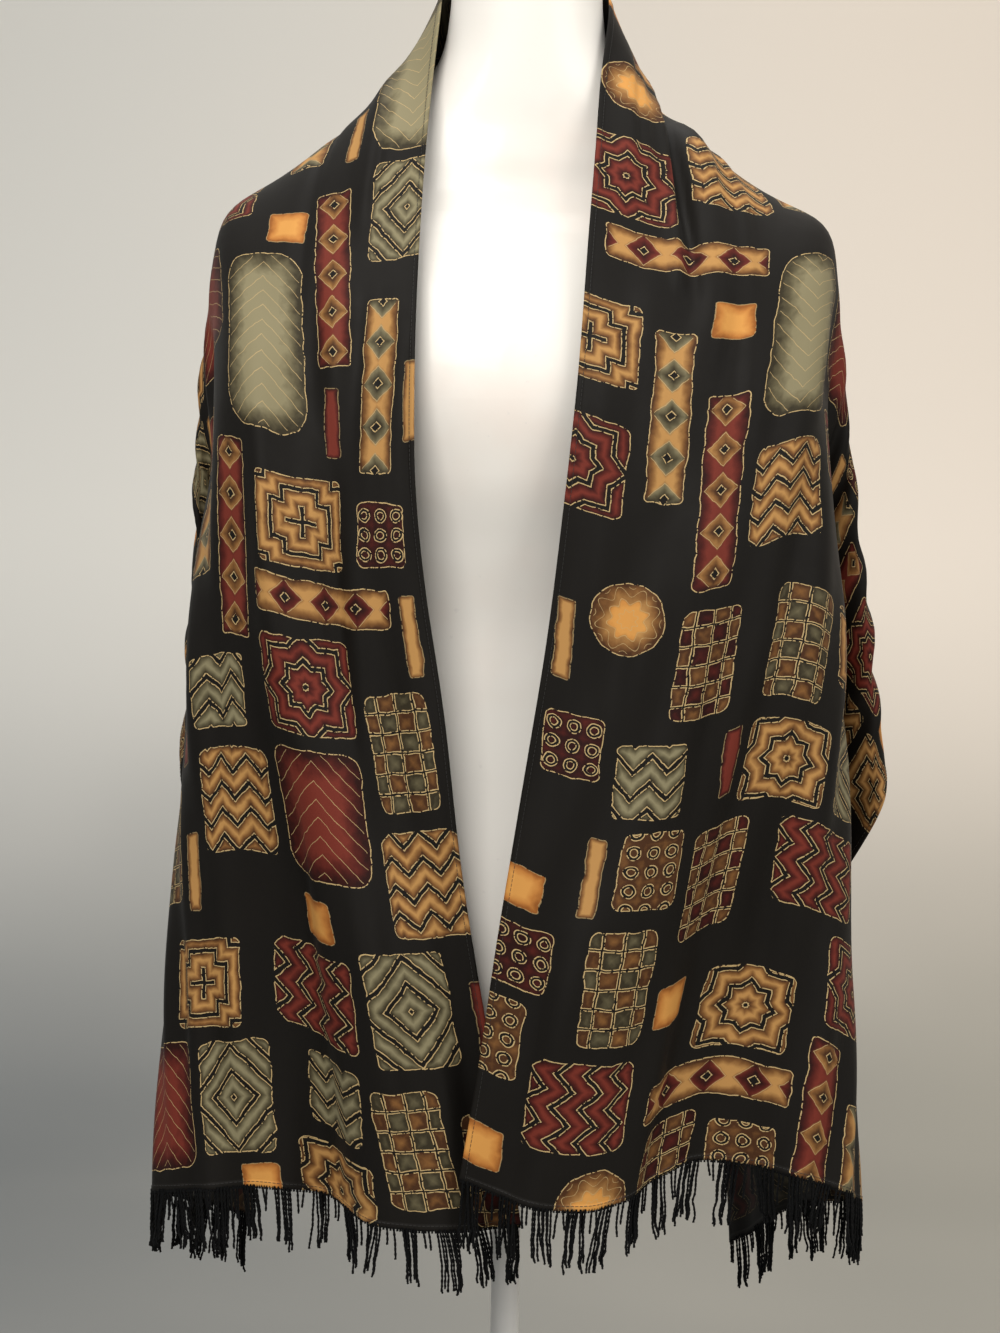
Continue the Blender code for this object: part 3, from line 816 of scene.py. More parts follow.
BACK_CREASES = (
    # across from, across to, along from, along to, height, half width, growing length
    (0.015, 0.210, 0.014, 0.062, 0.0022, 0.0075, 0.06),
    (0.020, 0.240, -0.022, -0.074, 0.0024, 0.0080, 0.06),
    (0.130, 0.420, -0.120, -0.098, 0.0026, 0.0100, 0.10),
    (0.150, 0.460, 0.132, 0.104, 0.0024, 0.0100, 0.10),
    (0.240, 0.560, 0.030, 0.036, 0.0026, 0.0110, 0.12),
    (0.260, 0.560, -0.046, -0.040, 0.0024, 0.0100, 0.12),
)


def creases(along, across):
    """Height of the creases over the grid."""
    total = fold_height(across[None, :], along[:, None], BACK_CREASES)
    for side, sign in SIDES:
        total += fold_height(sign * along[:, None], across[None, :], CREASES[side])
    return total


# %% Crease the shell
shell_creases = creases(shell_along, shell_across)
shell_points = raised(shell_points, shell_creases)
shell_normals = face_directions(shell_points)
print(f"creases up to {np.abs(shell_creases).max() * 1000:.1f} mm deep")


# %% Make the shell
def shell_faces(rows, columns):
    """Quads of a two-walled shell on a grid: outer wall, inner wall, then the rim."""
    index = np.arange(rows * columns).reshape(rows, columns)
    quads = np.stack([index[:-1, :-1], index[1:, :-1], index[1:, 1:], index[:-1, 1:]], -1).reshape(-1, 4)
    inner = quads[:, ::-1] + rows * columns
    rim = np.concatenate([index[:-1, 0], index[-1, :-1], index[:0:-1, -1], index[0, :0:-1]])
    after = np.roll(rim, -1)
    rim_quads = np.stack([after, rim, rim + rows * columns, after + rows * columns], -1)
    return quads, inner, rim_quads


def make_shell(name, points, normals, half):
    """A shell with its walls half a thickness either side of a grid, and which faces are inside."""
    rows, columns = points.shape[:2]
    quads, inner, rim_quads = shell_faces(rows, columns)
    walls = (points + normals * half, points - normals * half)
    verts = np.concatenate([wall.reshape(-1, 3) for wall in walls])
    faces = np.concatenate([quads, inner, rim_quads])
    mesh = bpy.data.meshes.new(name)
    mesh.from_pydata(verts.tolist(), [], faces.tolist())
    mesh.shade_smooth()
    obj = put(name, mesh)
    is_inner = np.zeros(len(faces), np.float32)
    is_inner[len(quads) : len(quads) + len(inner)] = 1.0
    return obj, is_inner


shawl, shawl_inner = make_shell("shawl", shell_points, shell_normals, shell_half_wall)
print(f"{shawl.name}: {len(shawl.data.polygons) * 2} triangles")

# %% [markdown]
# ## Laying out the print
# The print scatters patches over a black ground, at more than half its area, and no two touch. They
# are laid as one packs stones: the largest sorts first, each tried at many random places, and put
# where it fits most snugly against those that lie there. A raster of the flat cloth remembers what is
# taken, and each try looks only at the window of the raster round it. Two of one sort stay apart.

# %% Sorts of patches
RUST, SAGE, OCHRE, ORANGE = range(4)
MOTIFS = 10
RINGS, CHEVRONS, CROSSES, STARS, SPOTS, CHECKS, CHAIN, VEINS, PETALS, PLAIN = range(MOTIFS)
PATCH_SORTS = (
    # motif, colour, second colour, half width, half height, corner radius, turn, how many
    (VEINS, SAGE, SAGE, 0.029, 0.066, 0.020, 90, 5),
    (CHAIN, OCHRE, RUST, 0.0135, 0.066, 0.003, 90, 10),
    (CHAIN, SAGE, OCHRE, 0.0125, 0.058, 0.003, 90, 10),
    (CHAIN, RUST, OCHRE, 0.0125, 0.052, 0.003, 0, 7),
    (STARS, RUST, RUST, 0.031, 0.034, 0.006, 0, 10),
    (VEINS, RUST, RUST, 0.034, 0.042, 0.012, 90, 6),
    (CHEVRONS, OCHRE, OCHRE, 0.028, 0.034, 0.006, 90, 9),
    (CROSSES, OCHRE, OCHRE, 0.029, 0.032, 0.005, 0, 10),
    (RINGS, SAGE, SAGE, 0.028, 0.037, 0.005, 90, 12),
    (CHEVRONS, RUST, RUST, 0.029, 0.033, 0.006, 0, 10),
    (CHECKS, SAGE, OCHRE, 0.021, 0.038, 0.006, 90, 10),
    (STARS, OCHRE, OCHRE, 0.027, 0.029, 0.005, 0, 9),
    (CHECKS, OCHRE, RUST, 0.021, 0.036, 0.006, 90, 9),
    (PETALS, ORANGE, OCHRE, 0.024, 0.024, 0.024, 0, 8),
    (SPOTS, OCHRE, OCHRE, 0.025, 0.020, 0.005, 0, 10),
    (CHEVRONS, SAGE, SAGE, 0.022, 0.024, 0.004, 90, 12),
    (SPOTS, RUST, RUST, 0.020, 0.018, 0.004, 0, 12),
    (PLAIN, ORANGE, ORANGE, 0.0130, 0.0135, 0.002, 0, 22),
    (PLAIN, OCHRE, OCHRE, 0.0055, 0.0260, 0.002, 90, 16),
    (PLAIN, RUST, RUST, 0.0060, 0.0230, 0.002, 90, 14),
)
PRINT_SEED = 27
PATCH_GAP = 0.0090
SNUG_GAP = 0.0060
SAME_APART = 0.115
PATCH_REACH = 0.0055
FAR_AWAY = 1.0
TURN_WANDERS = 3.5
RASTER = 0.0025
TRIES = 420


def turned(x, y, degrees):
    """x and y as seen by a patch that is turned by some degrees."""
    c, s = math.cos(math.radians(degrees)), math.sin(math.radians(degrees))
    return x * c + y * s, y * c - x * s


# %% Lay the patches
def window(places, middle, reach):
    """The part of evenly spaced places that lies within reach of the middle."""
    return slice(*np.searchsorted(places, (middle - reach, middle + reach)))


def lay_patches():
    """Patches as rows of centre along, centre across, turn in degrees, and the row of their sort."""
    rng = np.random.default_rng(PRINT_SEED)
    raster_along = np.arange(-HALF_LENGTH, HALF_LENGTH, RASTER)
    raster_across = np.arange(0, CLOTH_WIDTH, RASTER)
    taken = np.zeros((raster_along.size, raster_across.size), bool)
    patches = []

    def covers(u, v, angle, half_width, half_height):
        """A window of the raster, and which cells of it lie in a box of that size."""
        reach = math.hypot(half_width, half_height)
        view = window(raster_along, u, reach), window(raster_across, v, reach)
        x, y = turned(raster_along[view[0], None] - u, raster_across[None, view[1]] - v, angle)
        return view, (np.abs(x) < half_width) & (np.abs(y) < half_height)

    for sort, (_, _, _, half_width, half_height, _, turn, count) in enumerate(PATCH_SORTS):
        apart = SAME_APART + half_height
        for _ in range(count):
            best_fit, best = -1.0, None
            for _ in range(TRIES):
                u, v = rng.uniform(-HALF_LENGTH, HALF_LENGTH), rng.uniform(0, CLOTH_WIDTH)
                angle = turn + rng.uniform(-TURN_WANDERS, TURN_WANDERS) + rng.choice((0, 180))
                view, near = covers(u, v, angle, half_width + PATCH_GAP, half_height + PATCH_GAP)
                same = [p for p in patches if p[3] == sort and math.dist(p[:2], (u, v)) < apart]
                if same or taken[view][near].any():
                    continue
                around = PATCH_GAP + SNUG_GAP
                view, snug = covers(u, v, angle, half_width + around, half_height + around)
                fit = taken[view][snug].sum()
                if fit > best_fit:
                    best_fit, best = fit, (u, v, angle, sort)
            if best:
                view, mine = covers(*best[:3], half_width, half_height)
                taken[view] |= mine
                patches.append(best)
    return patches, taken.mean()


patches, covered = lay_patches()
print(f"{len(patches)} patches cover {covered:.0%} of the cloth")

# %% [markdown]
# Each face then learns which patch lies over it. Its corners get the patch's own coordinates, as a
# second UV map in metres, and the face gets the patch's sort and size as attributes. The shader only
# has to draw one motif round (0, 0), and the same nodes draw every patch.

# %% Give the print to the cloth's faces
def print_cloth(obj, is_inner, along, across):
    """Gives each face its flat place and its patch. A face with no patch is far away from one."""
    mesh = obj.data
    flat = np.stack(np.meshgrid(along, across, indexing="ij"), -1).reshape(-1, 2)
    flat = np.concatenate([flat, flat])
    corner_vertex = np.zeros(len(mesh.loops), np.int32)
    mesh.loops.foreach_get("vertex_index", corner_vertex)
    corners = flat[corner_vertex].reshape(-1, 4, 2)
    centres = corners.mean(1)
    local = np.full(corners.shape, FAR_AWAY)
    look = np.full((len(centres), 3), -1.0)
    shape = np.zeros((len(centres), 3))
    for u, v, angle, sort in patches:
        motif, colour, second, half_width, half_height, corner, _, _ = PATCH_SORTS[sort]
        x, y = turned(centres[:, 0] - u, centres[:, 1] - v, angle)
        mine = (np.abs(x) < half_width + PATCH_REACH) & (np.abs(y) < half_height + PATCH_REACH)
        x, y = turned(corners[mine][..., 0] - u, corners[mine][..., 1] - v, angle)
        local[mine] = np.stack([x, y], -1)
        look[mine] = (motif, colour, second)
        shape[mine] = (half_width, half_height, corner)
    for name, values in (("cloth", corners), ("patch", local)):
        mesh.uv_layers.new(name=name).data.foreach_set("uv", values.ravel().astype(np.float32))
    for name, values in (("patch_look", look), ("patch_shape", shape)):
        attribute = mesh.attributes.new(name, "FLOAT_VECTOR", "FACE")
        attribute.data.foreach_set("vector", values.ravel().astype(np.float32))
    mesh.attributes.new("reverse", "FLOAT", "FACE").data.foreach_set("value", is_inner)
    return (look[:, 0] >= 0).mean()


print(f"{print_cloth(shawl, shawl_inner, shell_along, shell_across):.0%} of the faces carry print")

# %% [markdown]
# ## Drawing the motifs
# Every motif is worked out as a distance. `groove` is how far a point is from the nearest black
# line, and `inside` how far it is from the patch's rim. The lesser of the two does three jobs at
# once: its sign parts colour from ground, a thin band round zero is the gold outline, and its size
# shades the colour from dark at the rim to light in the middle, as an airbrush does.

# %% Sizes of the drawing
LINE_PITCH = 0.0062
LINE_HALF = 0.0015
GOLD_HALF = 0.00032
FINE_HALF = 0.00020
WOBBLE = 0.0016
RIM_WOBBLE = 0.0042
SLANT = math.sqrt(0.5)
CROSS_STEP = 0.009
CHEVRON_HALF = 0.011
SPOT_HALF_PITCH = 0.0063
SPOT_RADIUS = 0.0034
SPOT_LINE = 0.0010
CHECK_SIZE = 0.013
CHECK_LINE = 0.0008
LINK_HALF = 0.014
LINK_HEART = 0.0024
LINK_DIAMOND = 0.0082
LINK_BLEND = 0.0012
VEIN_PITCH = 0.0042
PETALS_ROUND = 8.0
PETAL_DEPTH = 0.16
PETAL_PITCH = 0.0030
PETAL_HEART = (0.010, 0.013)

# %% Colours of the print
GROUND = (0.0066, 0.0056, 0.0046)
GOLD = (0.50, 0.36, 0.17)
SHADES = {
    # dark, middle and light of each colour
    RUST: ((0.022, 0.005, 0.004), (0.072, 0.011, 0.008), (0.165, 0.028, 0.018)),
    SAGE: ((0.035, 0.028, 0.015), (0.112, 0.095, 0.052), (0.245, 0.215, 0.125)),
    OCHRE: ((0.062, 0.025, 0.010), (0.200, 0.090, 0.028), (0.460, 0.245, 0.080)),
    ORANGE: ((0.280, 0.095, 0.020), (0.500, 0.200, 0.045), (0.630, 0.300, 0.075)),
}


# %% Lines of the motifs
def drawn_lines(kind, x, y):
    """Distance to the nearest black line of the motif, which is negative in the line."""
    across_x, across_y = abs(x), abs(y)
    diamond = (across_x + across_y) * SLANT
    square = across_x.most(across_y)
    cross = (across_x - CROSS_STEP).most(across_y).least(across_x.most(across_y - CROSS_STEP))
    chevron = (y + x.bounce(CHEVRON_HALF)) * SLANT
    ruled = kind[RINGS] * diamond + kind[STARS] * square.least(diamond)
    ruled = ruled + kind[CROSSES] * cross + kind[CHEVRONS] * chevron
    is_ruled = kind[RINGS] + kind[STARS] + kind[CROSSES] + kind[CHEVRONS]
    spot = x.bounce(SPOT_HALF_PITCH).length(y.bounce(SPOT_HALF_PITCH))
    check = x.bounce(CHECK_SIZE / 2).least(y.bounce(CHECK_SIZE / 2))
    chain = (across_x + y.bounce(LINK_HALF)) * SLANT
    groove = is_ruled * (ruled.bounce(LINE_PITCH) - LINE_HALF)
    groove = groove + kind[SPOTS] * (abs(spot - SPOT_RADIUS) - SPOT_LINE)
    groove = groove + kind[CHECKS] * (check - CHECK_LINE) + kind[CHAIN] * (chain - LINK_HEART)
    unlined = kind[VEINS] + kind[PETALS] + kind[PLAIN]
    return groove + unlined, is_ruled


def fine_lines(kind, x, y):
    """Distance to the nearest fine gold line, and where the second colour lies."""
    vein = (abs(x) + y) * SLANT
    ripple = (y.maths("ARCTAN2", x) * PETALS_ROUND).maths("COSINE")
    petal = x.length(y) * (ripple * PETAL_DEPTH + 1.0)
    link = (abs(x) + y.bounce(LINK_HALF)) * SLANT - LINK_DIAMOND
    fine = kind[VEINS] * vein.bounce(VEIN_PITCH) + kind[PETALS] * petal.bounce(PETAL_PITCH)
    fine = fine + kind[CHAIN] * abs(link)
    unlined = 1.0 - kind[VEINS] - kind[PETALS] - kind[CHAIN]
    squares = (x / CHECK_SIZE).maths("FLOOR") + (y / CHECK_SIZE).maths("FLOOR")
    second = kind[CHECKS] * squares.bounce(1.0) + kind[CHAIN] * link.rise(-LINK_BLEND, LINK_BLEND)
    second = second + kind[PETALS] * petal.rise(*PETAL_HEART)
    return fine + unlined, second


def outside_box(x, y, half_width, half_height, corner):
    """Distance to a box with round corners, which is negative inside it."""
    over_x = abs(x) - (half_width - corner)
    over_y = abs(y) - (half_height - corner)
    return over_x.most(0.0).length(over_y.most(0.0)) + over_x.most(over_y).least(0.0) - corner


# %% [markdown]
# ## The printed crepe
# The cloth is black crepe with a soft lustre, printed on its outer face. The dye goes through thin
# cloth, so the reverse shows the same print, much darker. The crepe's grain is far too fine for
# geometry: a bump from fine noise stands for it, and a little sheen for its bloom. Slower noise makes
# the lines waver, as lines do that are drawn by hand, and clouds and specks the paint.

# %% Cloth finish
GRAIN = 1500.0
GRAIN_STRENGTH = 0.25
GRAIN_HEIGHT = 0.0002
LUSTRE_SCALE = 60.0
WAVER_SCALE = 95.0
WAVER_SHIFT = (3.7, 1.9, 0)
RIM_WAVER_SCALE = 38.0
PAINT_SPECKS = 160.0
SPECK_STRENGTH = 0.6
PAINT_CLOUDS = 55.0
CLOUD_DEPTH = 0.7
GROUND_CLOUDS = 22.0
GROUND_LIGHTER = 1.35
OUTLINE_BREAKS = 420.0
BROKEN_BELOW = 0.40
PLAIN_OUTLINE = 0.5
HAIRLINE_FROM_RIM = 0.002
HAIRLINE_STRENGTH = 0.8
REVERSE_DULLS = 0.82
SHADE_DEPTH = 0.0046
BROAD_SHADE = 0.6
SHADE_STOPS = (0.08, 0.45, 0.95)


def colour_of(finish, number, shades):
    """The shade that a face's number names."""
    picked = shades[0]
    for index, shade in enumerate(shades[1:], 1):
        picked = finish.mix(number.equals(index), picked, shade)
    return picked


def painted(finish, flat, depth, broad, numbers, second):
    """The paint of a patch, from dark at its rim and lines to light between them."""
    specks = finish.noise(flat, PAINT_SPECKS, 3.0) - 0.5
    clouds = finish.noise(flat, PAINT_CLOUDS, 2.0) - 0.5
    light = (depth / broad + specks * SPECK_STRENGTH + clouds * CLOUD_DEPTH).held()
    shades = []
    for name in (RUST, SAGE, OCHRE, ORANGE):
        stops = tuple(zip(SHADE_STOPS, SHADES[name]))
        shades.append(finish.add("ShaderNodeValToRGB", {"stops": stops}, {"Fac": light}).outputs["Color"])
    main, other = (colour_of(finish, number, shades) for number in numbers)
    return finish.mix(second.held(), main, other)


# %% The crepe's material
def printed_crepe():
    """The finish of the cloth: its ground, its paint, then its gold lines, dulled on the reverse."""
    finish = Finish("printed_crepe")
    flat = finish.uv("cloth")
    x, y, _ = finish.parts(finish.uv("patch"))
    motif, *colours = finish.parts(finish.attribute("patch_look"))
    half_width, half_height, corner = finish.parts(finish.attribute("patch_shape"))
    shifted = finish.add("ShaderNodeMapping", inputs={"Vector": flat, "Location": WAVER_SHIFT})
    x = x + (finish.noise(flat, WAVER_SCALE) - 0.5) * WOBBLE * 2
    y = y + (finish.noise(shifted.outputs["Vector"], WAVER_SCALE) - 0.5) * WOBBLE * 2

    kind = [motif.equals(index) for index in range(MOTIFS)]
    groove, is_ruled = drawn_lines(kind, x, y)
    fine, second = fine_lines(kind, x, y)
    rim_waver = (finish.noise(flat, RIM_WAVER_SCALE, 1.0) - 0.5) * RIM_WOBBLE
    inside = rim_waver - outside_box(x, y, half_width, half_height, corner)
    depth = inside.least(groove)

    broad = is_ruled * SHADE_DEPTH + (1.0 - is_ruled) * (half_width * BROAD_SHADE)
    paint = painted(finish, flat, depth, broad, colours, second)
    lighter = tuple(GROUND_LIGHTER * c for c in GROUND)
    ground = finish.mix(finish.noise(flat, GROUND_CLOUDS, 3.0), GROUND, lighter)
    dyed = finish.mix(1.0 - depth.below(0.0), ground, paint)
    unbroken = 1.0 - finish.noise(flat, OUTLINE_BREAKS, 1.0).below(BROKEN_BELOW)
    outline = abs(depth).below(GOLD_HALF) * unbroken * (1.0 - kind[PLAIN] * PLAIN_OUTLINE)
    hairline = fine.below(FINE_HALF) * (1.0 - inside.below(HAIRLINE_FROM_RIM))
    dyed = finish.mix(outline.most(hairline * HAIRLINE_STRENGTH), dyed, GOLD)
    reverse = finish.add("ShaderNodeAttribute", {"attribute_name": "reverse"}).outputs["Fac"]
    dyed = finish.mix(finish.value(reverse) * REVERSE_DULLS, dyed, GROUND)

    finish.close(
        base_color=dyed,
        roughness=0.50 + 0.14 * finish.noise(flat, LUSTRE_SCALE, 2.0),
        normal=finish.bump(finish.noise(flat, GRAIN, 2.0), GRAIN_STRENGTH, GRAIN_HEIGHT),
        specular_ior_level=0.12,
        sheen_weight=0.02,
        sheen_roughness=0.45,
    )
    return finish.material


shawl.data.materials.append(printed_crepe())

# %% [markdown]
# ## The hem's stitches
# A rolled hem is held by a row of small, even stitches, about three to the centimetre, all round
# the cloth: some 1500 of them. Geometry Nodes suit that: a guide line becomes a curve, the curve is
# resampled at the stitch's pitch, and one small thread is placed on each point along its tangent.

# %% Helpers for Geometry Nodes
def new_tree(name, sizes):
    """A Geometry Nodes tree that takes a guide and a number for each named size."""
    tree = bpy.data.node_groups.new(name, "GeometryNodeTree")
    tree.interface.new_socket("Guide", in_out="INPUT", socket_type="NodeSocketGeometry")
    tree.interface.new_socket("Made", in_out="OUTPUT", socket_type="NodeSocketGeometry")
    for label in sizes:
        tree.interface.new_socket(label, in_out="INPUT", socket_type="NodeSocketFloat")
    return tree, tree.nodes.new("NodeGroupInput")


def end_tree(tree, geometry, material):
    """Ends a tree in Realize Instances and Set Material."""
    real = add_node(tree, "GeometryNodeRealizeInstances", inputs={"Geometry": geometry})
    inputs = {"Geometry": real.outputs["Geometry"], "Material": material}
    made = add_node(tree, "GeometryNodeSetMaterial", inputs=inputs)
    out = tree.nodes.new("NodeGroupOutput")
    tree.links.new(made.outputs["Geometry"], out.inputs["Made"])


def run_tree(name, guide, tree, sizes):
    """Runs a tree on a guide and keeps the result as a plain mesh; the guide is removed."""
    bpy.context.collection.objects.link(guide)
    modifier = guide.modifiers.new("nodes", "NODES")
    modifier.node_group = tree
    sockets = {s.name: s.identifier for s in tree.interface.items_tree if s.in_out == "INPUT"}
    for label, value in sizes.items():
        modifier[sockets[label]] = value
    bpy.context.view_layer.update()
    evaluated = guide.evaluated_get(bpy.context.evaluated_depsgraph_get())
    mesh = bpy.data.meshes.new_from_object(evaluated)
    guide.modifiers.clear()
    bpy.data.objects.remove(guide)
    mesh.name = name
    obj = put(name, mesh)
    mesh.calc_loop_triangles()
    print(f"{name}: {len(mesh.loop_triangles)} triangles")
    return obj


def guide_of_lines(lines, **values):
    """An object of loose polylines, with a float attribute for each named list of values."""
    verts = np.concatenate(lines)
    edges, first = [], 0
    for line in lines:
        edges += [(first + k, first + k + 1) for k in range(len(line) - 1)]
        first += len(line)
    mesh = bpy.data.meshes.new("guide")
    mesh.from_pydata(verts.tolist(), edges, [])
    for label, numbers in values.items():
        data = mesh.attributes.new(label, "FLOAT", "POINT").data
        data.foreach_set("value", np.concatenate(numbers).astype(np.float32))
    return bpy.data.objects.new("guide", mesh)


# %% Stitches
STITCH_PITCH = 0.0030
STITCH_LENGTH = 0.0021
STITCH_RADIUS = 0.00018
STITCH_SIDES = 6
STITCH_LINE = 0.0034
THREAD_FLECKS = 400.0
THREAD_TONES = ((0.010, 0.010, 0.010), (0.030, 0.028, 0.026))

thread_finish = Finish("hem_thread")
thread_tone = thread_finish.noise(thread_finish.object_place(), THREAD_FLECKS)
thread_colour = thread_finish.mix(thread_tone, *THREAD_TONES)
thread_finish.close(base_color=thread_colour, roughness=0.5 + 0.2 * thread_tone)


def stitch_tree(sizes):
    """Lays a short thread along the guide at every pitch."""
    tree, given = new_tree("hem_stitches", sizes)
    curve = add_node(tree, "GeometryNodeMeshToCurve", inputs={"Mesh": given.outputs["Guide"]})
    inputs = {"Curve": curve.outputs["Curve"], "Length": given.outputs["Pitch"]}
    spaced = add_node(tree, "GeometryNodeResampleCurve", {"mode": "LENGTH"}, inputs)
    inputs = {"Vertices": STITCH_SIDES, "Radius": given.outputs["Radius"], "Depth": given.outputs["Length"]}
    thread = add_node(tree, "GeometryNodeMeshCylinder", inputs=inputs)
    tangent = add_node(tree, "GeometryNodeInputTangent")
    inputs = {"Vector": tangent.outputs["Tangent"]}
    turn = add_node(tree, "FunctionNodeAlignRotationToVector", {"axis": "Z"}, inputs)
    inputs = {
        "Points": spaced.outputs["Curve"],
        "Instance": thread.outputs["Mesh"],
        "Rotation": turn.outputs["Rotation"],
    }
    placed = add_node(tree, "GeometryNodeInstanceOnPoints", inputs=inputs)
    end_tree(tree, placed.outputs["Instances"], thread_finish.material)
    return tree


def stitch_lines():
    """Lines a little way in from each edge of the creased cloth, on its outer face."""
    place_along = np.clip(along, -HALF_LENGTH + STITCH_LINE, HALF_LENGTH - STITCH_LINE)
    place_across = np.clip(across, STITCH_LINE, CLOTH_WIDTH - STITCH_LINE)
    inner = sample_grid(cloth_points, place_along, place_across)
    height = creases(place_along, place_across) + HEM_HALF_WALL + STITCH_RADIUS / 2
    outer = inner + height[..., None] * face_directions(cloth_points)
    return [outer[:, 0], outer[:, -1], outer[0, 1:-1], outer[-1, 1:-1]]


stitch_sizes = {"Pitch": STITCH_PITCH, "Length": STITCH_LENGTH, "Radius": STITCH_RADIUS}
stitch_guide = guide_of_lines(stitch_lines())
hem_stitches = run_tree("hem_stitches", stitch_guide, stitch_tree(stitch_sizes), stitch_sizes)

# %% [markdown]
# ## The fringe
# Each end carries a fringe of twisted yarn. The yarns hang in bundles of seven to nine, with a gap
# between bundles where two shorter ones hang, and their tips curl. A close row of stubs heads the
# fringe along the whole hem. Python sets the plan: a guide for each yarn, from the hem down. Geometry
# Nodes make the yarn: each guide is doubled, noise bends it more and more towards the tip, the two
# plies wind round each other, and a round profile is swept along.

# %% Fringe sizes
FRINGE_SEED = 5
FRINGE_GROUPS = 22
GROUP_YARNS = (7, 7, 8, 9)
YARN_SPACING = 0.0013
YARN_STAGGER = 0.0007
BUNDLE_SPLAY = 0.0036
YARN_SPLAY = 0.0019
BUNDLE_INSET = 0.06
YARN_WANDERS = 0.25
LONG_YARN = (0.036, 0.044)
YARN_SHARES = (0.85, 1.05)
SHORT_YARN = (0.012, 0.026)
SHORT_EACH = 2
SHORT_FROM = 0.35
SHORT_STEP = 0.3
YARN_POINTS = 9
YARN_TUCK = 0.0015
YARN_HALF_GAP = 0.0009
FROM_CORNER = 0.001
HEADER_DROP = 0.0028
HEADER_SPACING = 0.0018
HEADER_POINTS = 3
YARN_SIZES = {
    "Spacing": 0.0017,
    "Ply radius": 0.00062,
    "Ply offset": 0.00034,
    "Turns": 150.0,
    "Curl": 0.0086,
    "Curl scale": 90.0,
}


# %% Guides of the yarns
def fringe_guides(hem, before_hem, seed):
    """Lines for the yarns and the header's stubs of one end, and how far down each point is."""
    rng = np.random.default_rng(seed)
    pitch = CLOTH_WIDTH / FRINGE_GROUPS
    plumb = np.array([0.0, 0.0, -1.0])
    lines, shares = [], []

    def add_yarn(place, length, splay, points=YARN_POINTS, stagger=0.0):
        """One yarn that leaves the hem in line with the cloth and bends to hang plumb."""
        at = np.array([np.clip(place, FROM_CORNER, CLOTH_WIDTH - FROM_CORNER)])
        top = sample(across, hem, at)[0]
        cloth_down = top - sample(across, before_hem, at)[0]
        cloth_down /= np.linalg.norm(cloth_down)
        side = sample(across, hem, at + YARN_HALF_GAP)[0] - sample(across, hem, at - YARN_HALF_GAP)[0]
        side /= np.linalg.norm(side)
        share = np.linspace(0, 1, points)[:, None]
        bearing = cloth_down * (1 - share) + plumb * share
        bearing /= np.linalg.norm(bearing, axis=1)[:, None]
        step = length / (points - 1)
        hanging = np.vstack([np.zeros(3), np.cumsum(bearing[1:] * step, axis=0)])
        path = top - cloth_down * YARN_TUCK + hanging
        forward = np.cross(cloth_down, side)
        lines.append(path + side * splay * share + forward * stagger)
        shares.append(share[:, 0] * length / LONG_YARN[1])

    for group in range(FRINGE_GROUPS):
        count = GROUP_YARNS[rng.integers(len(GROUP_YARNS))]
        start = pitch * (group + BUNDLE_INSET + BUNDLE_INSET * rng.random())
        length = rng.uniform(*LONG_YARN)
        splay = rng.normal(0, BUNDLE_SPLAY)
        for yarn in range(count):
            place = start + YARN_SPACING * (yarn + YARN_WANDERS * rng.random())
            yarn_splay = splay + rng.normal(0, YARN_SPLAY)
            stagger = YARN_STAGGER * (-1) ** yarn
            add_yarn(place, length * rng.uniform(*YARN_SHARES), yarn_splay, stagger=stagger)
        bundle = YARN_SPACING * count
        for yarn in range(SHORT_EACH):
            place = start + bundle + (pitch - bundle) * (SHORT_FROM + SHORT_STEP * yarn)
            add_yarn(place, rng.uniform(*SHORT_YARN), rng.normal(0, YARN_SPLAY))
    for place in np.arange(FROM_CORNER, CLOTH_WIDTH, HEADER_SPACING):
        add_yarn(place, HEADER_DROP, 0.0, points=HEADER_POINTS)
    return lines, shares


# %% Yarn finish
YARN_CLOUDS = 260.0
YARN_FUZZ = 2400.0
YARN_TONES = ((0.0018, 0.0020, 0.0022), (0.0052, 0.0054, 0.0058))

yarn_finish = Finish("black_yarn")
yarn_place = yarn_finish.object_place()
yarn_tone = yarn_finish.noise(yarn_place, YARN_CLOUDS)
yarn_finish.close(
    base_color=yarn_finish.mix(yarn_tone, *YARN_TONES),
    roughness=0.62 + 0.2 * yarn_tone,
    normal=yarn_finish.bump(yarn_finish.noise(yarn_place, YARN_FUZZ), 0.4, 0.0002),
    specular_ior_level=0.10,
    sheen_weight=0.01,
)

# %% The tree that twists the yarns
CURL_POWER = 1.6
PLY_SIDES = 5


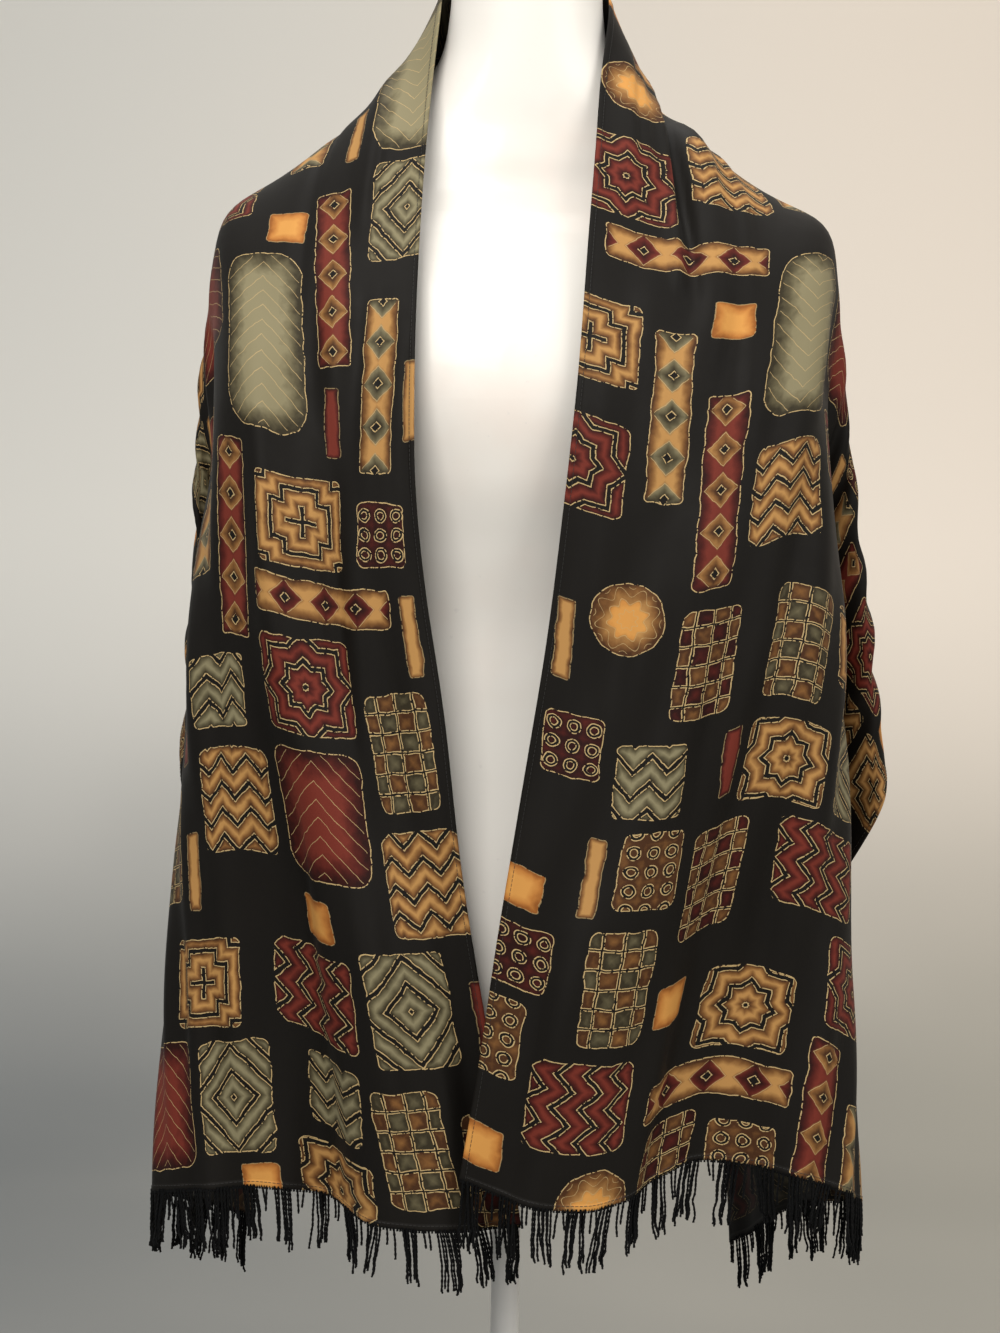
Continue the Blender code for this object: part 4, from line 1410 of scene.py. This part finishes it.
def yarn_tree(sizes):
    """Makes each guide a yarn of two plies that curls towards its tip."""
    tree, given = new_tree("twisted_yarn", sizes)

    def maths(kind, operation, inputs):
        return add_node(tree, kind, {"operation": operation}, inputs).outputs[0]

    def number(operation, *inputs):
        return maths("ShaderNodeMath", operation, dict(enumerate(inputs)))

    def vector(operation, *inputs):
        return maths("ShaderNodeVectorMath", operation, dict(enumerate(inputs)))

    def scaled(direction, size):
        return maths("ShaderNodeVectorMath", "SCALE", {"Vector": direction, "Scale": size})

    def stored(name):
        settings = {"data_type": "FLOAT"}
        return add_node(tree, "GeometryNodeInputNamedAttribute", settings, {"Name": name}).outputs[0]

    def moved(geometry, offset):
        inputs = {"Geometry": geometry, "Offset": offset}
        return add_node(tree, "GeometryNodeSetPosition", inputs=inputs).outputs[0]

    curve = add_node(tree, "GeometryNodeMeshToCurve", inputs={"Mesh": given.outputs["Guide"]})
    inputs = {"Geometry": curve.outputs[0], "Amount": 2}
    plies = add_node(tree, "GeometryNodeDuplicateElements", {"domain": "SPLINE"}, inputs)
    settings = {"data_type": "FLOAT", "domain": "CURVE"}
    inputs = {"Geometry": plies.outputs["Geometry"], "Name": "ply", "Value": plies.outputs["Duplicate Index"]}
    ply = add_node(tree, "GeometryNodeStoreNamedAttribute", settings, inputs)
    inputs = {"Curve": ply.outputs["Geometry"], "Length": given.outputs["Spacing"]}
    spaced = add_node(tree, "GeometryNodeResampleCurve", {"mode": "LENGTH"}, inputs)

    place = add_node(tree, "GeometryNodeInputPosition").outputs[0]
    inputs = {"Vector": place, "Scale": given.outputs["Curl scale"], "Detail": 1.0}
    noise = add_node(tree, "ShaderNodeTexNoise", inputs=inputs).outputs["Color"]
    centred = vector("SUBTRACT", noise, (0.5, 0.5, 0.5))
    strength = number("MULTIPLY", number("POWER", stored("share"), CURL_POWER), given.outputs["Curl"])
    curled = moved(spaced.outputs[0], scaled(centred, strength))

    tangent = add_node(tree, "GeometryNodeInputTangent").outputs[0]
    normal = add_node(tree, "GeometryNodeInputNormal").outputs[0]
    beside = vector("CROSS_PRODUCT", tangent, normal)
    run = add_node(tree, "GeometryNodeSplineParameter").outputs["Length"]
    angle = number("MULTIPLY", number("MULTIPLY", run, given.outputs["Turns"]), 2 * math.pi)
    angle = number("ADD", angle, number("MULTIPLY", stored("ply"), math.pi))
    out = scaled(normal, number("COSINE", angle))
    out = vector("ADD", out, scaled(beside, number("SINE", angle)))
    wound = moved(curled, scaled(out, given.outputs["Ply offset"]))

    inputs = {"Resolution": PLY_SIDES, "Radius": given.outputs["Ply radius"]}
    ring = add_node(tree, "GeometryNodeCurvePrimitiveCircle", inputs=inputs)
    inputs = {"Curve": wound, "Profile Curve": ring.outputs[0], "Fill Caps": True}
    swept = add_node(tree, "GeometryNodeCurveToMesh", inputs=inputs)
    end_tree(tree, swept.outputs[0], yarn_finish.material)
    return tree


# %% Make the fringes
yarns = yarn_tree(YARN_SIZES)
fringes = {}
for end, row, before in (("left", 0, 1), ("right", -1, -2)):
    lines, shares = fringe_guides(cloth_points[row], cloth_points[before], FRINGE_SEED + row)
    guide = guide_of_lines(lines, share=shares)
    fringes[end] = run_tree(f"{end}_fringe_yarns", guide, yarns, YARN_SIZES)

# %% [markdown]
# ## The dress form
# The form is a moulded shell with no head or limbs. Its solid has flat facets, so a smooth skin is
# made through the same sections, with more rings and more points round each. A superellipse gives
# each ring: an exponent of 2 is an ellipse, and a little more squares its shoulders.

# %% Sections of the form: height, half width, depth in front, depth behind, exponent
FORM_SECTIONS = (
    (0.748, 0.128, 0.078, 0.082, 2.1),
    (0.752, 0.146, 0.090, 0.098, 2.1),
    (0.770, 0.158, 0.097, 0.108, 2.2),
    (0.815, 0.166, 0.100, 0.114, 2.2),
    (0.870, 0.163, 0.098, 0.112, 2.2),
    (0.930, 0.145, 0.092, 0.100, 2.2),
    (0.990, 0.124, 0.087, 0.088, 2.2),
    (1.040, 0.117, 0.086, 0.082, 2.2),
    (1.090, 0.124, 0.095, 0.084, 2.2),
    (1.140, 0.137, 0.109, 0.089, 2.2),
    (1.190, 0.148, 0.115, 0.094, 2.2),
    (1.240, 0.158, 0.106, 0.098, 2.2),
    (1.280, 0.174, 0.089, 0.100, 2.3),
    (1.310, 0.188, 0.071, 0.097, 2.3),
    (1.326, 0.187, 0.058, 0.090, 2.2),
    (1.343, 0.167, 0.050, 0.084, 2.1),
    (1.367, 0.136, 0.047, 0.080, 2.0),
    (1.389, 0.107, 0.045, 0.077, 2.0),
    (1.413, 0.082, 0.045, 0.074, 2.0),
    (1.441, 0.063, 0.045, 0.070, 2.0),
    (1.475, 0.0555, 0.045, 0.067, 2.0),
    (1.510, 0.0545, 0.045, 0.065, 2.0),
    (1.545, 0.0540, 0.045, 0.065, 2.0),
    (1.552, 0.0490, 0.040, 0.060, 2.0),
)
FORM_RINGS = 150
FORM_STEPS = 112
FORM_INSET = 0.0006
SHARP_DEGREES = 40


def form_ring(height, half_width, front, back, square):
    """Points of one section of the form: a superellipse that is deeper behind than in front."""
    angle = np.arange(FORM_STEPS) / FORM_STEPS * 2 * math.pi
    x = half_width * np.sign(np.cos(angle)) * np.abs(np.cos(angle)) ** (2 / square)
    depth = np.where(np.sin(angle) > 0, back, front)
    y = depth * np.sign(np.sin(angle)) * np.abs(np.sin(angle)) ** (2 / square)
    return np.column_stack([x, y, np.full(FORM_STEPS, height)])


def stack_of_rings(name, rings, material):
    """A closed piece through rings of points, flat at both ends and smooth where it is round."""
    bm = bmesh.new()
    loops = [[bm.verts.new(p) for p in ring] for ring in rings]
    for lower, upper in zip(loops, loops[1:]):
        for k in range(len(lower)):
            n = (k + 1) % len(lower)
            bm.faces.new((lower[k], lower[n], upper[n], upper[k]))
    bm.faces.new(loops[0])
    bm.faces.new(loops[-1])
    bmesh.ops.recalc_face_normals(bm, faces=bm.faces)
    mesh = bpy.data.meshes.new(name)
    bm.to_mesh(mesh)
    bm.free()
    mesh.materials.append(material)
    mesh.shade_smooth()
    mesh.set_sharp_from_angle(angle=math.radians(SHARP_DEGREES))
    obj = put(name, mesh)
    print(f"{name}: {len(mesh.polygons)} faces")
    return obj


# %% Form finish and skin
BLOTCH_SCALE = 9.0
BLOTCH_EDGES = (0.42, 0.72)
PORE_SCALE = 130.0
PORE_EDGES = (0.70, 0.80)
PORE_STRENGTH = 0.4
GLOSS_SCALE = 30.0
SHELL_TONES = ((0.90, 0.87, 0.82), (0.87, 0.80, 0.74))
PORE_TONE = (0.70, 0.67, 0.65)

shell_finish = Finish("moulded_shell")
shell_place = shell_finish.object_place()
blotches = shell_finish.noise(shell_place, BLOTCH_SCALE, 4.0).rise(*BLOTCH_EDGES)
pores = shell_finish.noise(shell_place, PORE_SCALE, 3.0)
shell_colour = shell_finish.mix(blotches, *SHELL_TONES)
shell_finish.close(
    base_color=shell_finish.mix(pores.rise(*PORE_EDGES) * PORE_STRENGTH, shell_colour, PORE_TONE),
    roughness=0.34 + 0.16 * shell_finish.noise(shell_place, GLOSS_SCALE, 2.0),
    normal=shell_finish.bump(pores, 0.12, 0.0006),
    coat_weight=0.15,
)

sections = np.array(FORM_SECTIONS)
even_heights = np.linspace(sections[0, 0], sections[-1, 0], FORM_RINGS)
ring_heights = np.union1d(even_heights, sections[:, 0])
ring_sizes = spline(sections[:, 0], sections[:, 1:], ring_heights)
ring_sizes[:, :3] -= FORM_INSET
form_rings = [form_ring(z, *size) for z, size in zip(ring_heights, ring_sizes)]
form_skin = stack_of_rings("form_skin", form_rings, shell_finish.material)

# %% [markdown]
# ## Pole and base
# The form stands on a plain tube in a socket on a round plate, all painted white. They are turned
# shapes, so each is a profile that runs round the axis. Their edges are eased, because a sharp edge
# catches no light and looks like paper.

# %% Stand
ROUND_STEPS = 72
PAINT_PATCHES = 14.0
PAINT_PEEL = 500.0
PAINT_TONES = ((0.80, 0.79, 0.77), (0.74, 0.73, 0.71))

paint_finish = Finish("white_paint")
paint_place = paint_finish.object_place()
paint_tone = paint_finish.noise(paint_place, PAINT_PATCHES, 4.0)
paint_colour = paint_finish.mix(paint_tone, *PAINT_TONES)
paint_peel = paint_finish.bump(paint_finish.noise(paint_place, PAINT_PEEL), 0.15, 0.0003)
paint_finish.close(base_color=paint_colour, roughness=0.38 + 0.14 * paint_tone, normal=paint_peel)


def round_ring(radius, height):
    angle = np.arange(ROUND_STEPS) / ROUND_STEPS * 2 * math.pi
    return np.column_stack([radius * np.cos(angle), radius * np.sin(angle), np.full(ROUND_STEPS, height)])


def turned_piece(name, node, profile):
    """A turned piece that stands for a node. The profile holds distances in from the node's side, and
    heights, which are measured up from its foot, or down from its top where they are negative."""
    low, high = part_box(node)
    radius = (high.x - low.x) / 2
    rings = [round_ring(radius - inward, (low.z if up >= 0 else high.z) + up) for inward, up in profile]
    return stack_of_rings(name, rings, paint_finish.material)


def node_height(node):
    low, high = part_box(node)
    return high.z - low.z


base_height, socket_height, pole_height = map(node_height, ("base_plate", "pole_socket", "pole"))
base_disc = turned_piece(
    "base_disc",
    "base_plate",
    (
        (0.0030, 0.0),
        (0.0012, 0.0003),
        (0.0003, 0.0014),
        (0.0, 0.0028),
        (0.0, base_height - 0.0030),
        (0.0005, base_height - 0.0014),
        (0.0016, base_height - 0.0004),
        (0.0034, base_height),
        (0.1200, base_height),
    ),
)
socket_sleeve = turned_piece(
    "socket_sleeve",
    "pole_socket",
    (
        (0.0006, 0.0),
        (0.0, 0.0008),
        (0.0, 0.0195),
        (0.0006, 0.0235),
        (0.0020, 0.0272),
        (0.0032, socket_height - 0.0010),
        (0.0052, socket_height),
    ),
)
pole_tube = turned_piece(
    "pole_tube",
    "pole",
    ((0.0004, 0.0), (0.0, 0.0005), (0.0, pole_height - 0.0005), (0.0004, pole_height)),
)

# %% [markdown]
# Every piece rides on the part's one body, and the solids that it stands for are hidden. The stitches
# stand for no solid of their own.

# %% Attach the pieces
CLOTH_NODES = [f"shawl_{side}_{part}" for side in ("left", "right") for part in ("front", "side", "back")]
PIECES = (
    # piece, slot, the nodes that it stands for
    (shawl, "shawl_cloth", CLOTH_NODES),
    (hem_stitches, "shawl_cloth", []),
    (fringes["left"], "fringe_yarn", ["left_fringe"]),
    (fringes["right"], "fringe_yarn", ["right_fringe"]),
    (form_skin, "form_shell", ["dress_form"]),
    (base_disc, "stand_paint", ["base_plate"]),
    (socket_sleeve, "stand_paint", ["pole_socket"]),
    (pole_tube, "stand_paint", ["pole"]),
)
for piece, slot, nodes in PIECES:
    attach(piece, "root")
    if nodes:
        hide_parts(*nodes)
print(f"{len(PIECES)} pieces")
